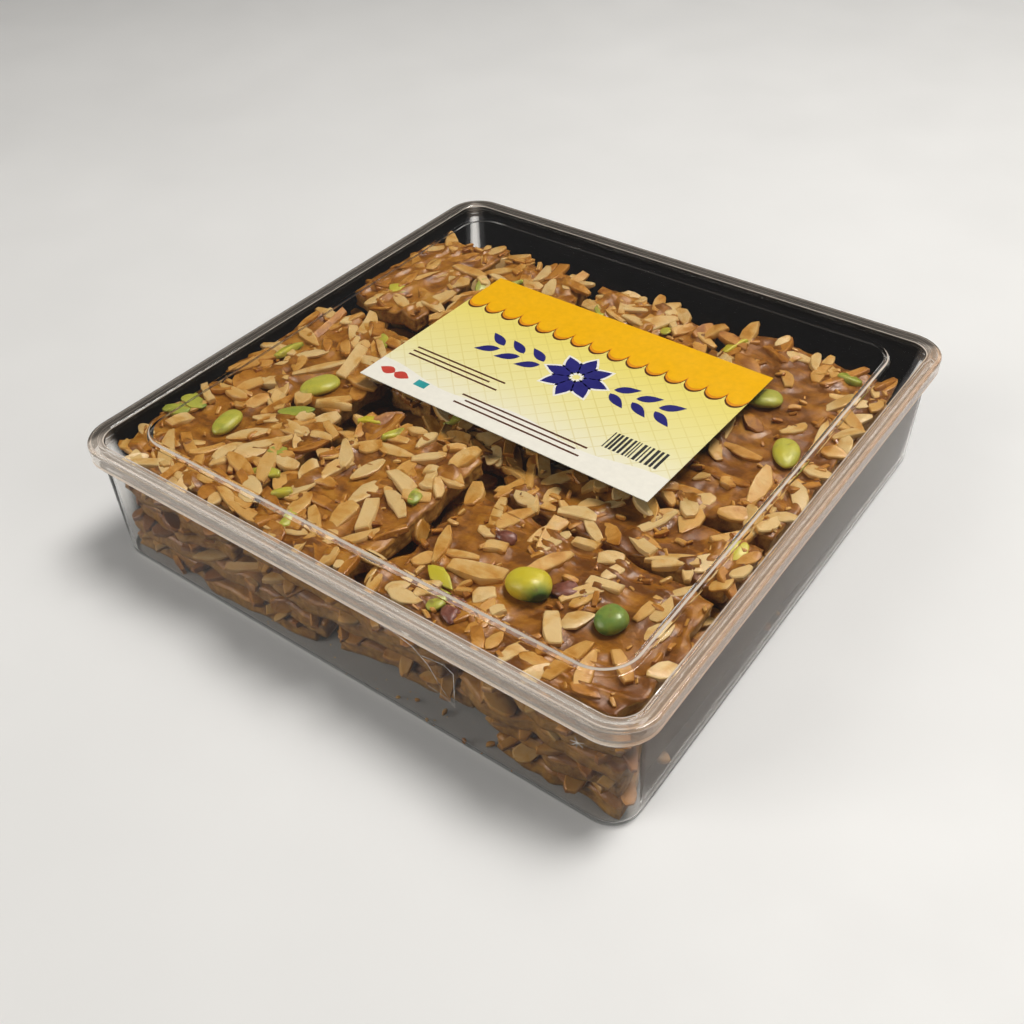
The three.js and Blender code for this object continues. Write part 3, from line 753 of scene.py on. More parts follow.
class Slab:
    """One broken slab. (u, v) is a place on it, each from -1 to 1."""

    def __init__(self, name, seed, slivers, corners, thickness):
        self.name, self.seed, self.slivers = name, seed, slivers
        self.corners, self.thickness = corners, thickness
        random = self.random("phases")
        self.phases = [random() * math.pi * 2 for _ in range(6)]
        self.pistachios = [nut for nut in PISTACHIOS if nut[1] == name]
        self.main_slivers = self.place_slivers()

    def random(self, purpose):
        factor, shift = SEEDS[purpose]
        return make_random(self.seed * factor + shift)

    def axis(self, index):
        return [corner[index] for corner in self.corners]

    def extent(self, index):
        return max(self.axis(index)) - min(self.axis(index))

    def area(self):
        return self.extent(0) * self.extent(1)

    def plan(self, u, v):
        """Where (u, v) lies: corners drawn in, outline broken."""
        angle = np.arctan2(v, u)
        wave = sum(share * np.sin(count * angle + phase)
                   for (count, share), phase in zip(SLAB_EDGE_WAVES, self.phases))
        reach = np.maximum(np.abs(u), np.abs(v)) ** SLAB_EDGE_FADE
        ragged = 1 + reach * SLAB_EDGE_WAVE * (wave - SLAB_EDGE_DRAW)
        in_u = u * ragged * np.sqrt(1 - SLAB_CORNER_PULL * v * v)
        in_v = v * ragged * np.sqrt(1 - SLAB_CORNER_PULL * u * u)
        return across_corners(self.axis(0), in_u, in_v), across_corners(self.axis(1), in_u, in_v)

    def top(self, u, v):
        x, y = self.plan(u, v)
        ripple = sum(share * np.sin(along / length + phase)
                     for along, (length, share), phase in zip((x, y, x - y), SLAB_RIPPLES, self.phases[3:]))
        return across_corners(self.axis(2), u, v) + SLAB_RELIEF * ripple

    def plain_top_at(self, x, y):
        """Height of the plain top at a point in plan, as the large pistachios use it."""
        left, front = self.corners[0][:2]
        right, back = self.corners[2][:2]
        u = 2 * (x - left) / (right - left) - 1
        v = 2 * (y - front) / (back - front) - 1
        return across_corners(self.axis(2), u, v)

    def longest_inside(self, x, y, turn, overhang):
        """The longest piece about a point that stands out over the slab's edges by an overhang."""
        longest = math.inf
        for corner in range(4):
            from_x, from_y = self.corners[corner][:2]
            to_x, to_y = self.corners[(corner + 1) % 4][:2]
            side = math.hypot(to_x - from_x, to_y - from_y)
            normal = (-(to_y - from_y) / side, (to_x - from_x) / side)
            inside = (x - from_x) * normal[0] + (y - from_y) * normal[1]
            slope = abs(math.cos(turn) * normal[0] + math.sin(turn) * normal[1])
            longest = min(longest, 2 * (inside + overhang) / max(slope, LEAST_SLOPE))
        return longest

    def near_pistachio(self, x, y, length):
        return any(math.hypot(nut[2][0] - x, nut[2][1] - y) < (nut[3][0] + length) / 2
                   for nut in self.pistachios)

    def place_slivers(self):
        """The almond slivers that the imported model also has, longest first."""
        random = self.random("slivers")
        start_u, start_v = random(), random()
        places = []
        for index in range(self.slivers):
            u = spread_out(start_u, SPREAD_U, index, SLIVER_MARGIN)
            v = spread_out(start_v, SPREAD_V, index, SLIVER_MARGIN)
            x, y = self.plan(u, v)
            turn = random() * math.pi
            wanted = between(SLIVER_LONGEST, SLIVER_SHORTEST, index / self.slivers)
            wanted -= SLIVER_SHORTFALL * random()
            width = between(*SLIVER_WIDTH, random())
            thick = between(*SLIVER_THICK, random())
            length = min(wanted, self.longest_inside(x, y, turn, SLIVER_OVERHANG))
            z = self.top(u, v) + (0.5 - SLIVER_SINK) * thick
            if not self.near_pistachio(x, y, length) and length > 2 * width:
                places.append({"at": (x, y, z), "turn": turn, "length": length, "width": width,
                               "thick": thick, "kind": "sliver"})
        return places


def strip_bounds(low, high, joints, random):
    first, second = [between(low, high, part) + swing(random, JOINT_SHIFT) for part in joints]
    return [(low, first), (first, second), (second, high)]


def lower_slabs():
    """The slabs under the top layer, in rows and columns, layer by layer from the floor up."""
    layers = []
    for layer in range(LOWER_LAYERS):
        slabs = []
        random = make_random(LAYER_SEED + LAYER_SEED_STEP * layer)
        base = LOWER_START + layer * LAYER_PITCH
        columns = strip_bounds(LAYER_SPAN["left"], LAYER_SPAN["right"], COLUMN_JOINTS[layer], random)
        for column, (left, right) in enumerate(columns):
            rows = strip_bounds(LAYER_SPAN["front"], LAYER_SPAN["back"], ROW_JOINTS, random)
            for row, (front, back) in enumerate(rows):
                side = SLAB_GAP / 2
                west = left + side + (random() * EDGE_RETREAT["left"] if column == 0 else 0)
                east = right - side - (random() * EDGE_RETREAT["right"] if column == 2 else 0)
                south = front + side + (random() * EDGE_RETREAT["front"] if row == 0 else 0)
                north = back - side - (random() * EDGE_RETREAT["back"] if row == 2 else 0)
                west_retreat, east_retreat = FRONT_RETREAT[layer][column] if row == 0 else (0, 0)
                tops = [base + LOWER_SLAB_THICK + random() * LOWER_SLAB_SLOPE for _ in range(4)]
                corners = [(west, south + west_retreat, tops[0]), (east, south + east_retreat, tops[1]),
                           (east, north, tops[2]), (west, north, tops[3])]
                name = f"slab_layer{layer + 1}_{'lmr'[column]}{'fmb'[row]}"
                slivers = 0 if column == 1 and row == 1 else 2
                seed = LOWER_SLAB_SEED + layer * 9 + column * 3 + row
                slabs.append(Slab(name, seed, slivers, corners, LOWER_SLAB_THICK))
        layers.append(slabs)
    return layers


def slab_mesh(slab, cell, side_rows, slivers):
    """A broken slab of caramel: rippled top drawn up to its slivers, rough snapped sides."""
    across = max(LEAST_CELLS, round(slab.extent(0) / cell))
    along = max(LEAST_CELLS, round(slab.extent(1) / cell))
    u, v = np.meshgrid(np.linspace(-1, 1, across + 1), np.linspace(-1, 1, along + 1), indexing="ij")
    x, y = slab.plan(u, v)
    plan = np.stack([x.ravel(), y.ravel(), np.zeros(x.size)], 1)
    to_edge = np.minimum((1 - np.abs(u)) * slab.extent(0) / 2, (1 - np.abs(v)) * slab.extent(1) / 2)
    top = slab.top(u, v).ravel()
    top += relief(plan, TOP_CLOUDS[0], slab.seed) + relief(plan, TOP_CLOUDS[1], slab.seed + 5)
    top -= TOP_EDGE_DROP * np.exp(-to_edge.ravel() / TOP_EDGE_REACH)
    top += sum(caramel_rise(plan, sliver) for sliver in slivers) + folded(slab, plan)
    bottom = across_corners(slab.axis(2), u, v).ravel() - slab.thickness
    bottom += relief(plan, UNDERSIDE_CLOUD, slab.seed + 9) + UNDERSIDE_LIFT
    loop = ([(i, 0) for i in range(across)] + [(across, j) for j in range(along)]
            + [(i, along) for i in range(across, 0, -1)] + [(0, j) for j in range(along, 0, -1)])
    edge = np.array([i * (along + 1) + j for i, j in loop])
    rows = snapped_sides(slab, plan[edge][:, :2], top[edge], bottom[edge], side_rows)
    size, count = len(plan), len(edge)
    vertices = np.concatenate([np.column_stack([plan[:, :2], top]), np.column_stack([plan[:, :2], bottom]),
                               *rows])
    faces = []
    for i in range(across):
        for j in range(along):
            a = i * (along + 1) + j
            quad = (a, a + along + 1, a + along + 2, a + 1)
            faces.append(quad)
            faces.append(tuple(size + q for q in quad[::-1]))
    ladder = [edge] + [2 * size + k * count + np.arange(count) for k in range(side_rows - 1)] + [size + edge]
    for upper, lower in zip(ladder, ladder[1:]):
        for k in range(count):
            after = (k + 1) % count
            faces.append((int(upper[after]), int(upper[k]), int(lower[k]), int(lower[after])))
    return vertices, faces


def snapped_sides(slab, outline, top, bottom, side_rows):
    """The rows of points down a slab's rough sides, between its top and its underside."""
    tangent = np.roll(outline, -1, 0) - np.roll(outline, 1, 0)
    outward = np.stack([tangent[:, 1], -tangent[:, 0]], 1)
    outward /= np.linalg.norm(outward, axis=1)[:, None] + 1e-9
    rows = []
    for row in range(1, side_rows):
        height = between(top, bottom, row / side_rows)
        swell = relief(np.column_stack([outline, height]), SIDE_CLOUD, slab.seed + 3) - SIDE_DRAW
        rows.append(np.column_stack([outline + outward * swell[:, None], height]))
    return rows


def folded(slab, plan):
    """How much the drawn folds and lumps of the set caramel raise it, at points in plan."""
    random = slab.random("folds")
    folds = list(FOLDS.get(slab.name, ()))
    xs, ys = slab.axis(0), slab.axis(1)
    for _ in range(round(slab.area() / FOLD_AREA)):
        x, y = between(min(xs), max(xs), random()), between(min(ys), max(ys), random())
        turn, length = random() * math.pi, between(*FOLD_LENGTH, random())
        folds.append(((x, y), (x + length * math.cos(turn), y + length * math.sin(turn)),
                      between(*FOLD_HEIGHT, random()), between(*FOLD_WIDTH, random())))
    raised = np.zeros(len(plan))
    wander = relief(plan, FOLD_WANDER, slab.seed + 21)
    for (from_x, from_y), (to_x, to_y), height, width in folds:
        length = math.hypot(to_x - from_x, to_y - from_y)
        along, side = turned_to(plan, (from_x, from_y), math.atan2(to_y - from_y, to_x - from_x))
        past = np.maximum(np.maximum(-along, along - length), 0)
        ridge = np.exp(-((side + wander) / width) ** 2 - (past / FOLD_END) ** 2)
        raised = np.maximum(raised, height * ridge)
    return raised


def turned_to(plan, origin, turn):
    """Points in plan, as seen along and across a line from an origin."""
    x, y = plan[:, 0] - origin[0], plan[:, 1] - origin[1]
    return x * math.cos(turn) + y * math.sin(turn), y * math.cos(turn) - x * math.sin(turn)


def caramel_rise(plan, sliver):
    """How much the caramel climbs beside one sliver, at points in plan."""
    along, side = turned_to(plan, sliver["at"], sliver["turn"])
    past = np.maximum(np.abs(along) - sliver["length"] / 2, 0)
    off = np.maximum(np.abs(side) - sliver["width"] * 0.45, 0)
    return CARAMEL_CLIMB * np.exp(-(past ** 2 + off ** 2) / CARAMEL_CLIMB_REACH)


# ------------------------------------------------------------------ nuts
# For each kind of piece: how much wider and thicker than its place says; how far its round side
# (the kernel's outside) and its knife side taper to the ends, and with what power; how bent it is.
NUT_KINDS = {
    "sliver": {"wide": 1.3, "thick": 1.05, "round": (0.6, 1.0), "knife": (0.15, 0.7), "power": (1.7, 2.6),
               "curve": 0.35},
    "stick": {"wide": 0.95, "thick": 1.25, "round": (0.05, 0.4), "knife": (0.0, 0.3), "power": (2.0, 4.0),
              "curve": 0.2},
    "flake": {"wide": 1.8, "thick": 0.5, "round": (0.75, 1.0), "knife": (0.7, 1.0), "power": (2.0, 2.6),
              "curve": 0.15},
    "chip": {"wide": 1.25, "thick": 1.3, "round": (0.2, 0.8), "knife": (0.1, 0.7), "power": (1.3, 2.5),
             "curve": 0.1},
}
SIDE_STEPS = 5
# Levels of a piece from its underside up: part of the thickness, and how far its edge draws in.
NUT_LEVELS = ((0.0, 0.35), (0.14, 0.0), (0.84, 0.0), (1.0, 0.28))
# How much a piece differs from a plain one, in all: its widest place off the middle, its ends cut
# askew, its top sloping, its ends thinner, its length arched and twisted, and its edge uneven.
NUT_SKEW = 0.5
NUT_SLANT = 1.2
NUT_WEDGE = 0.7
NUT_THIN_END = 0.5
NUT_ARCH = 0.07
NUT_TWIST = 0.5
NUT_ROUGH = 0.16


def cut_nut(place, random):
    """A piece cut from a kernel: crisp where the knife went, round where the kernel ends.

    Gives vertices, faces and for each vertex how bare it is, from glazed 0 to cream 1."""
    kind = NUT_KINDS[place["kind"]]
    half_long = place["length"] / 2
    half_wide = place["width"] * kind["wide"] / 2
    thick = place["thick"] * kind["thick"]
    power = between(*kind["power"], random())
    taper_round = between(*kind["round"], random())
    taper_knife = between(*kind["knife"], random())
    curve = swing(random, 2) * kind["curve"] * half_wide
    skew = swing(random, NUT_SKEW)
    slant = swing(random, NUT_SLANT)
    wedge = swing(random, NUT_WEDGE)
    thin_end = random() * NUT_THIN_END
    arch = (random() - 0.35) * NUT_ARCH * place["length"]
    twist = swing(random, NUT_TWIST)
    flip = 1 if random() < 0.5 else -1
    along = np.sin(np.linspace(-math.pi / 2, math.pi / 2, SIDE_STEPS + 1))
    taper = np.abs(np.clip(along + skew * (1 - along ** 2), -1, 1)) ** power
    side_s = np.concatenate([along, along[::-1]])
    side_y = half_wide * np.concatenate([taper_knife * taper - 1, (1 - taper_round * taper)[::-1]])
    side_y = side_y * np.array([1 + swing(random, NUT_ROUGH) for _ in side_y])
    is_round = np.repeat([0.0, 1.0], len(along))
    bend = side_s ** 2 - 0.4
    turn = twist * side_s * 0.5
    points, bare = [], []
    for level, inset in NUT_LEVELS:
        inset = min(inset, half_wide * 0.35)
        y = side_y - np.sign(side_y) * np.minimum(inset, np.abs(side_y) * 0.6)
        x = side_s * (half_long - inset) + y * slant * side_s ** 2 * 0.5
        height = (level - 0.5) * thick * (1 - thin_end * np.abs(side_s) ** 3)
        height = height * (1 + wedge * y / half_wide * (level > 0.5))
        y_turned = y * np.cos(turn) - height * np.sin(turn) + curve * bend
        z_turned = y * np.sin(turn) + height * np.cos(turn) + arch * bend
        points.append(np.stack([x, y_turned * flip, z_turned], 1))
        bare.append(0.72 - 0.12 * is_round - 0.5 * (1 - level) ** 2 - 0.12 * np.abs(side_s) ** 3)
    spin = Euler((place.get("roll", 0.0), place.get("pitch", 0.0), place["turn"])).to_matrix()
    points = np.concatenate(points) @ np.array(spin).T + np.array(place["at"])
    faces = [face[::flip] for face in tube_faces(len(NUT_LEVELS), len(side_s))]
    return inside_box(points), faces, np.concatenate(bare)


def inside_box(points):
    """Moves a piece inside the tray and under the lid. What still stands out is pressed flat."""
    points = points.copy()
    for axis in (0, 1):
        points[:, axis] -= max(points[:, axis].max() - WALL_REACH, 0)
        points[:, axis] += max(-WALL_REACH - points[:, axis].min(), 0)
    roof = UNDER_MARGIN if np.abs(points[:, :2]).max() > PANEL_REACH else UNDER_PANEL
    points[:, 2] -= max(points[:, 2].max() - roof, 0)
    straight = HALF - CORNER_RADIUS
    past = np.maximum(np.abs(points[:, :2]) - straight, 0)
    far = np.linalg.norm(past, axis=1)
    shrink = np.where(far > WALL_REACH - straight, (WALL_REACH - straight) / np.maximum(far, 1e-6), 1)
    corner = (past > 0).all(1)
    pulled = np.sign(points[:, :2]) * (straight + past * shrink[:, None])
    points[corner, :2] = pulled[corner]
    beyond = np.abs(points[:, :2]).max(1) > PANEL_REACH
    roofs = np.where(beyond, UNDER_MARGIN, UNDER_PANEL)
    points[:, 2] = np.clip(points[:, 2], TRAY_FLOOR + FLOOR_CLEARANCE, roofs)
    return points


def nut_size(kind, length, random):
    """Width and thickness of a piece, and its length, shorter for a chip."""
    return {"kind": kind, "length": length * (0.5 if kind == "chip" else 1.0),
            "width": between(2.8, 5.2, random()), "thick": between(1.6, 2.6, random())}


def tilted(random, pitch, roll, about=0.0):
    """A tilt along and across a piece, the roll about a given angle."""
    return {"pitch": swing(random, pitch), "roll": about + swing(random, roll)}


def pick(options, random):
    return options[int(random() * len(options))]


EXTRA_KINDS = ("sliver", "stick", "sliver", "flake", "stick", "sliver", "chip", "sliver", "flake", "stick")
EXTRA_MARGIN = 0.98
EXTRA_OVERHANG = 2.2
EXTRA_SHORTEST = 3.2
EXTRA_RISE = 1.7
CROWD_WAVELENGTH = 17.0
CROWD_LEVEL = 0.35
EDGE_KINDS = ("sliver", "stick", "sliver", "flake", "sliver")
EDGE_LENGTH = (8, 15)
EDGE_INSET = (0.5, 4.5)
NOTED_RISE = 1.1
NOTED_THICK = 2.3
NOTED_CLEARANCE = 0.23  # of both pieces' lengths

# How thickly some top slabs are strewn with nuts, where 1 is the most, and how much darker some are.
NUT_DENSITY = {"slab_top_front_right": 0.2, "slab_top_right": 0.32, "slab_top_centre_right": 0.4,
               "slab_top_centre": 0.7, "slab_top_back_left": 0.15}
DARKER_SLABS = {"slab_top_front_right": 0.15, "slab_top_right": 0.2, "slab_top_centre_right": 0.25,
                "slab_top_front_middle": 0.1, "slab_top_centre": 0.2}
# Almond pieces that stand out in the photograph: place in plan, length, width, turn in degrees,
# kind and how bare they are.
NOTED_NUTS = {
    "slab_top_front_right": (
        (35.6, -77.3, 17.7, 8.2, 18, "chip", 0.55), (50.8, -62.2, 16.4, 5.0, 64, "sliver", 0.5),
        (33.8, -65.4, 7.0, 4.2, 22, "stick", 0.6), (69.8, -61.0, 10.6, 3.7, 11, "stick", 0.8),
        (66.8, -83.4, 12.5, 5.4, 129, "stick", 0.8), (70.6, -76.5, 11.0, 6.0, 59, "flake", 0.85),
        (77.1, -91.0, 19.0, 5.4, 84, "sliver", 0.3), (83.6, -91.5, 17.0, 5.2, 105, "sliver", 0.3),
        (69.6, -95.7, 9.6, 5.6, 12, "flake", 0.35), (56.3, -96.1, 9.9, 4.2, 92, "flake", 0.3),
        (48.7, -93.9, 10.8, 4.4, 82, "flake", 0.35), (43.5, -83.9, 7.0, 5.4, 54, "chip", 0.8),
        (50.3, -86.5, 4.6, 4.2, 60, "chip", 0.9), (20.2, -94.5, 9.6, 4.6, 64, "flake", 0.85),
        (27.7, -91.0, 9.4, 4.4, 72, "sliver", 0.85), (55.7, -49.4, 8.0, 4.2, 12, "stick", 0.7),
        (65.4, -50.4, 8.1, 4.5, 29, "stick", 0.7), (90.5, -84.0, 12.0, 4.4, 140, "sliver", 0.3),
        (19.9, -81.5, 8.5, 4.8, 55, "sliver", 0.4)),
    "slab_top_front_left": (
        (-86.0, -90.2, 20.0, 5.6, 133, "sliver", 0.6), (-69.3, -57.4, 12.8, 5.0, 32, "flake", 0.8),
        (-69.2, -67.9, 15.5, 5.4, 50, "flake", 0.75), (-68.3, -79.0, 11.5, 4.8, 77, "sliver", 0.85),
        (-59.3, -50.7, 6.4, 5.6, 66, "chip", 0.75), (-54.5, -57.4, 6.0, 4.8, 0, "chip", 0.8),
        (-51.5, -77.4, 16.5, 6.4, 118, "chip", 0.5), (-91.2, -54.3, 14.2, 4.5, 178, "sliver", 0.45),
        (-64.7, -92.5, 11.8, 5.0, 10, "flake", 0.45), (-99.5, -87.0, 11.1, 5.0, 166, "flake", 0.7),
        (-99.0, -69.5, 15.0, 7.0, 56, "flake", 0.45)),
    "slab_top_left_middle": (
        (-68.0, -16.5, 20.0, 4.8, 108, "stick", 0.75), (-75.5, -25.7, 21.0, 4.2, 57, "sliver", 0.7),
        (-84.5, -20.5, 12.9, 4.6, 47, "flake", 0.85), (-97.7, -25.3, 15.7, 5.4, 9, "sliver", 0.75),
        (-99.0, 2.4, 12.8, 4.6, 0, "sliver", 0.6), (-94.0, -12.6, 16.8, 5.0, 160, "flake", 0.5)),
    "slab_top_front_middle": (
        (-8.5, -45.3, 11.5, 4.6, 45, "sliver", 0.85), (-3.6, -50.0, 5.4, 4.8, 44, "chip", 0.8),
        (0.3, -56.4, 4.9, 4.4, 6, "chip", 0.85), (2.3, -39.1, 12.7, 6.4, 79, "chip", 0.55),
        (-15.1, -38.2, 9.9, 4.4, 88, "sliver", 0.8), (-22.1, -60.1, 13.9, 5.6, 80, "flake", 0.75),
        (-31.8, -65.3, 12.4, 4.8, 76, "sliver", 0.6), (-6.9, -77.7, 14.2, 5.2, 118, "stick", 0.8),
        (-2.3, -68.5, 14.1, 4.8, 150, "sliver", 0.85), (-15.4, -70.0, 15.0, 5.8, 85, "flake", 0.9),
        (-2.0, -86.4, 12.8, 4.6, 59, "sliver", 0.5), (-29.0, -85.4, 13.8, 6.0, 99, "flake", 0.45),
        (-21.1, -48.0, 17.0, 5.2, 6, "flake", 0.6)),
}


def extra_pieces(slab, count, longest, shortest):
    """Smaller almond pieces between and over the main slivers, thicker in some parts of a slab."""
    random = slab.random("extra")
    start_u, start_v = random(), random()
    places = []
    for index in range(count):
        u = spread_out(start_u, SPREAD_U, index, EXTRA_MARGIN)
        v = spread_out(start_v, SPREAD_V, index, EXTRA_MARGIN)
        x, y = slab.plan(u, v)
        turn = random() * math.pi
        kind = pick(EXTRA_KINDS, random)
        length = between(longest, shortest, index / count) * between(0.75, 1.1, random())
        place = nut_size(kind, length, random)
        place["length"] = min(place["length"], slab.longest_inside(x, y, turn, EXTRA_OVERHANG))
        place.update(tilted(random, 0.3, 0.6))
        rise = random() * random() * EXTRA_RISE
        place.update(at=(x, y, slab.top(u, v) + place["thick"] * 0.25 + rise), turn=turn)
        keep = random()
        crowd = noise.noise(Vector((x / CROWD_WAVELENGTH, y / CROWD_WAVELENGTH, slab.seed))) + 0.5
        is_clear = not slab.near_pistachio(x, y, place["length"] * 0.8)
        if is_clear and place["length"] >= EXTRA_SHORTEST and keep <= crowd + CROWD_LEVEL:
            places.append(place)
    return places


def noted_pieces(slab):
    return [{"at": (x, y, slab.plain_top_at(x, y) + NOTED_RISE), "turn": math.radians(turn),
             "length": length, "width": width / NUT_KINDS[kind]["wide"], "thick": NOTED_THICK,
             "kind": kind, "bare": bare}
            for x, y, length, width, turn, kind, bare in NOTED_NUTS.get(slab.name, ())]


def clear_of(noted, place):
    """Whether a piece keeps off the noted ones."""
    return all(math.dist(place["at"][:2], other["at"][:2])
               > (place["length"] + other["length"]) * NOTED_CLEARANCE for other in noted)


def edge_pieces(slab, sides, pitch, stuck):
    """Almond pieces along a slab's broken edges: some lie over the edge, some stick in its side.

    sides are (axis, end): (0, 1) is the edge at u = 1. stuck is the share that sticks in it."""
    random = slab.random("edges")
    places = []
    for axis, end in sides:
        count = round(slab.extent(1 - axis) / pitch)
        for index in range(count):
            part = between(-EXTRA_MARGIN, EXTRA_MARGIN, (index + random()) / count)
            u, v = (end, part) if axis == 0 else (part, end)
            x, y = slab.plan(u, v)
            top = slab.top(u, v)
            place = nut_size(pick(EDGE_KINDS, random), between(*EDGE_LENGTH, random()), random)
            outward = axis * math.pi / 2
            if random() >= stuck:
                inset = end * between(*EDGE_INSET, random())
                spot = (x - inset, y) if axis == 0 else (x, y - inset)
                place.update(at=(*spot, top + 0.3 + random() * 0.7), turn=outward + swing(random, 2.4),
                             **tilted(random, 0.4, 0.8))
            else:
                place["length"] *= 0.8
                place.update(at=(x, y, top - between(1.2, slab.thickness - 0.8, random())),
                             turn=outward + math.pi / 2 + swing(random, 0.9),
                             **tilted(random, 0.5, 0.8, math.pi / 2))
            places.append(place)
    return places


def kernel_mesh(centre, size, turn, seed, segments=32, rings=22):
    """A kernel: an egg that is blunter at one end, flattened underneath, with a soft crease."""
    phase = make_random(seed)() * math.pi * 2
    vertices = []
    for ring in range(rings + 1):
        polar = math.pi * ring / rings
        along = math.cos(polar)
        radius = math.sin(polar) * (1 + 0.10 * along)
        for step in range(segments):
            angle = 2 * math.pi * step / segments
            crease = 0.05 * math.exp(-((angle - math.pi / 2) ** 2) / 0.06)
            lump = 1 + 0.05 * math.sin(2 * angle + phase) * math.sin(3.2 * polar + phase)
            reach = radius * (1 - crease + 0.03 * math.sin(3 * angle + phase)) * lump
            vertices.append((size[0] / 2 * along, size[1] / 2 * reach * math.cos(angle),
                             size[2] / 2 * reach * math.sin(angle)))
    spin = Matrix.Rotation(math.radians(turn), 3, "Z")
    placed = np.array(vertices) @ np.array(spin).T + np.array(centre)
    return placed, tube_faces(rings + 1, segments, capped=False)


# ------------------------------------------------------------------ build the contents
LEFT, RIGHT, FRONT, BACK = (0, -1), (0, 1), (1, -1), (1, 1)
ALMOND_SHARP = math.radians(33)
# How glazed or bare the almond pieces are, and how much paler or darker the slabs.
ALMOND_COATS = (-0.6, -0.3, -0.1, 0.05, 0.2, 0.35)
LOWER_GLAZE = 0.3
TOP_TONE = (-0.2, 0.2)
LOWER_TONE = (-0.3, 0.1)
# Mesh cell and rows down the side, of a top slab and of a lower one.
TOP_MESH = (1.0, 7)
LOWER_MESH = (1.6, 5)
# Extra pieces: one for so much area or how many, and the longest and shortest.
TOP_EXTRA_AREA = 62
TOP_EXTRA_LENGTH = (20.0, 7.0)
LOWER_EXTRA_COUNT = 22
LOWER_EXTRA_LENGTH = (13.0, 6.0)
# How far apart the pieces along an edge are. A slab is sparse up to a density of SPARSE.
EDGE_PITCH = 9.5
SPARSE_EDGE_PITCH = 24.0
LOWER_EDGE_PITCH = 13.0
SPARSE = 0.3
STUCK_SHARE = 0.05
# The area for one grain of grit, and for one bit of pistachio.
GRIT_AREA = 60
BITS_AREA = 700


class NutPieces:
    """The almond pieces of one layer, gathered by kind. glaze makes them all browner."""

    def __init__(self, layer, glaze=0.0):
        self.layer, self.glaze = layer, glaze
        self.kinds = {"slivers": Joined(), "flakes": Joined(), "chips": Joined()}

    def add(self, place, random):
        family = {"flake": "flakes", "chip": "chips"}.get(place["kind"], "slivers")
        tone = pick(ALMOND_COATS, random) + swing(random, 0.1) - self.glaze
        if "bare" in place:
            tone = place["bare"] - 0.5
        vertices, faces, bare = cut_nut(place, random)
        self.kinds[family].add(vertices, faces, np.clip(bare + tone, -0.3, 1.3))

    def build(self):
        for family, joined in self.kinds.items():
            piece = joined.piece(f"almond_{family}_{self.layer}", ALMOND)
            piece.data.set_sharp_from_angle(angle=ALMOND_SHARP)
            finish_joined(piece)


def build_top_layer():
    almonds, bits, built = NutPieces("top"), Joined(), {}
    for name, seed, slivers, corners in TOP_SLABS:
        slab = Slab(name, seed, slivers, corners, TOP_SLAB_THICK)
        density = NUT_DENSITY.get(name, 1.0)
        extra = extra_pieces(slab, round(slab.area() / TOP_EXTRA_AREA * density), *TOP_EXTRA_LENGTH)
        pitch = EDGE_PITCH if density > SPARSE else SPARSE_EDGE_PITCH
        extra += edge_pieces(slab, (LEFT, RIGHT, FRONT, BACK), pitch, STUCK_SHARE)
        noted = noted_pieces(slab)
        pieces = noted + [place for place in slab.main_slivers + extra if clear_of(noted, place)]
        vertices, faces = slab_mesh(slab, *TOP_MESH, pieces)
        random = slab.random("tone")
        tone = between(*TOP_TONE, random()) - DARKER_SLABS.get(name, 0.0)
        piece = mesh_piece(name + "_caramel", vertices, faces, CARAMEL, True, np.full(len(vertices), tone))
        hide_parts(name)
        finish_joined(piece)
        for place in pieces:
            almonds.add(place, random)
        for nut in slab.pistachios:
            build_large_pistachio(slab, nut)
        add_grit(slab, almonds, random, round(slab.area() / GRIT_AREA))
        add_pistachio_bits(slab, bits, random, round(slab.area() / BITS_AREA * density))
        built[name] = slab
    almonds.build()
    finish_joined(bits.piece("pistachio_bits_top", PISTACHIO))
    return built


def build_large_pistachio(slab, nut):
    name, _, place, size, turn, shade = nut
    centre = (*place, slab.plain_top_at(*place) + size[2] * PISTACHIO_LIFT)
    vertices, faces = kernel_mesh(centre, size, turn, len(name) * 97)
    tones = np.full(len(vertices), shade)
    if name in GREEN_PATCH:
        middle, reach = GREEN_PATCH[name]
        near = np.linalg.norm(vertices - np.array(middle), axis=1)
        tones += (1 - shade) * np.clip(1.6 - near / reach, 0, 1)
    piece = mesh_piece(name + "_kernel", vertices, faces, PISTACHIO, True, tones)
    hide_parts(name)
    finish_joined(piece)


def add_grit(slab, almonds, random, count):
    """Small crumbs of almond and caramel over a top slab."""
    for _ in range(count):
        u, v = [between(-EXTRA_MARGIN, EXTRA_MARGIN, random()) for _ in range(2)]
        x, y = slab.plan(u, v)
        size = between(1.2, 3.4, random() ** 2)
        place = {"at": (x, y, slab.top(u, v) + 0.35 + 0.2 * size), "turn": random() * math.pi,
                 "length": size * 1.5, "width": size * 0.6, "thick": size * 0.5, "kind": "stick",
                 **tilted(random, 0.9, 0.9), "bare": between(-0.3, 0.5, random())}
        if not slab.near_pistachio(x, y, size):
            almonds.add(place, random)


def add_pistachio_bits(slab, bits, random, count):
    """Pistachio slices and splinters on a top slab."""
    for _ in range(count):
        u, v = [between(-0.9, 0.9, random()) for _ in range(2)]
        x, y = slab.plan(u, v)
        kind = pick(("flake", "sliver", "chip"), random)
        length = between(6, 13, random())
        if slab.near_pistachio(x, y, length):
            continue
        place = {"at": (x, y, slab.top(u, v) + 0.9 + random()), "turn": random() * math.pi,
                 "length": min(length, slab.longest_inside(x, y, 0, 1.0)),
                 "width": between(2.6, 3.8, random()), "thick": between(1.6, 2.4, random()),
                 "kind": kind, **tilted(random, 0.5, 0.8)}
        vertices, faces, bare = cut_nut(place, random)
        bits.add(vertices, faces, between(0.05, 0.5, random()) + 0.4 * (0.7 - bare))


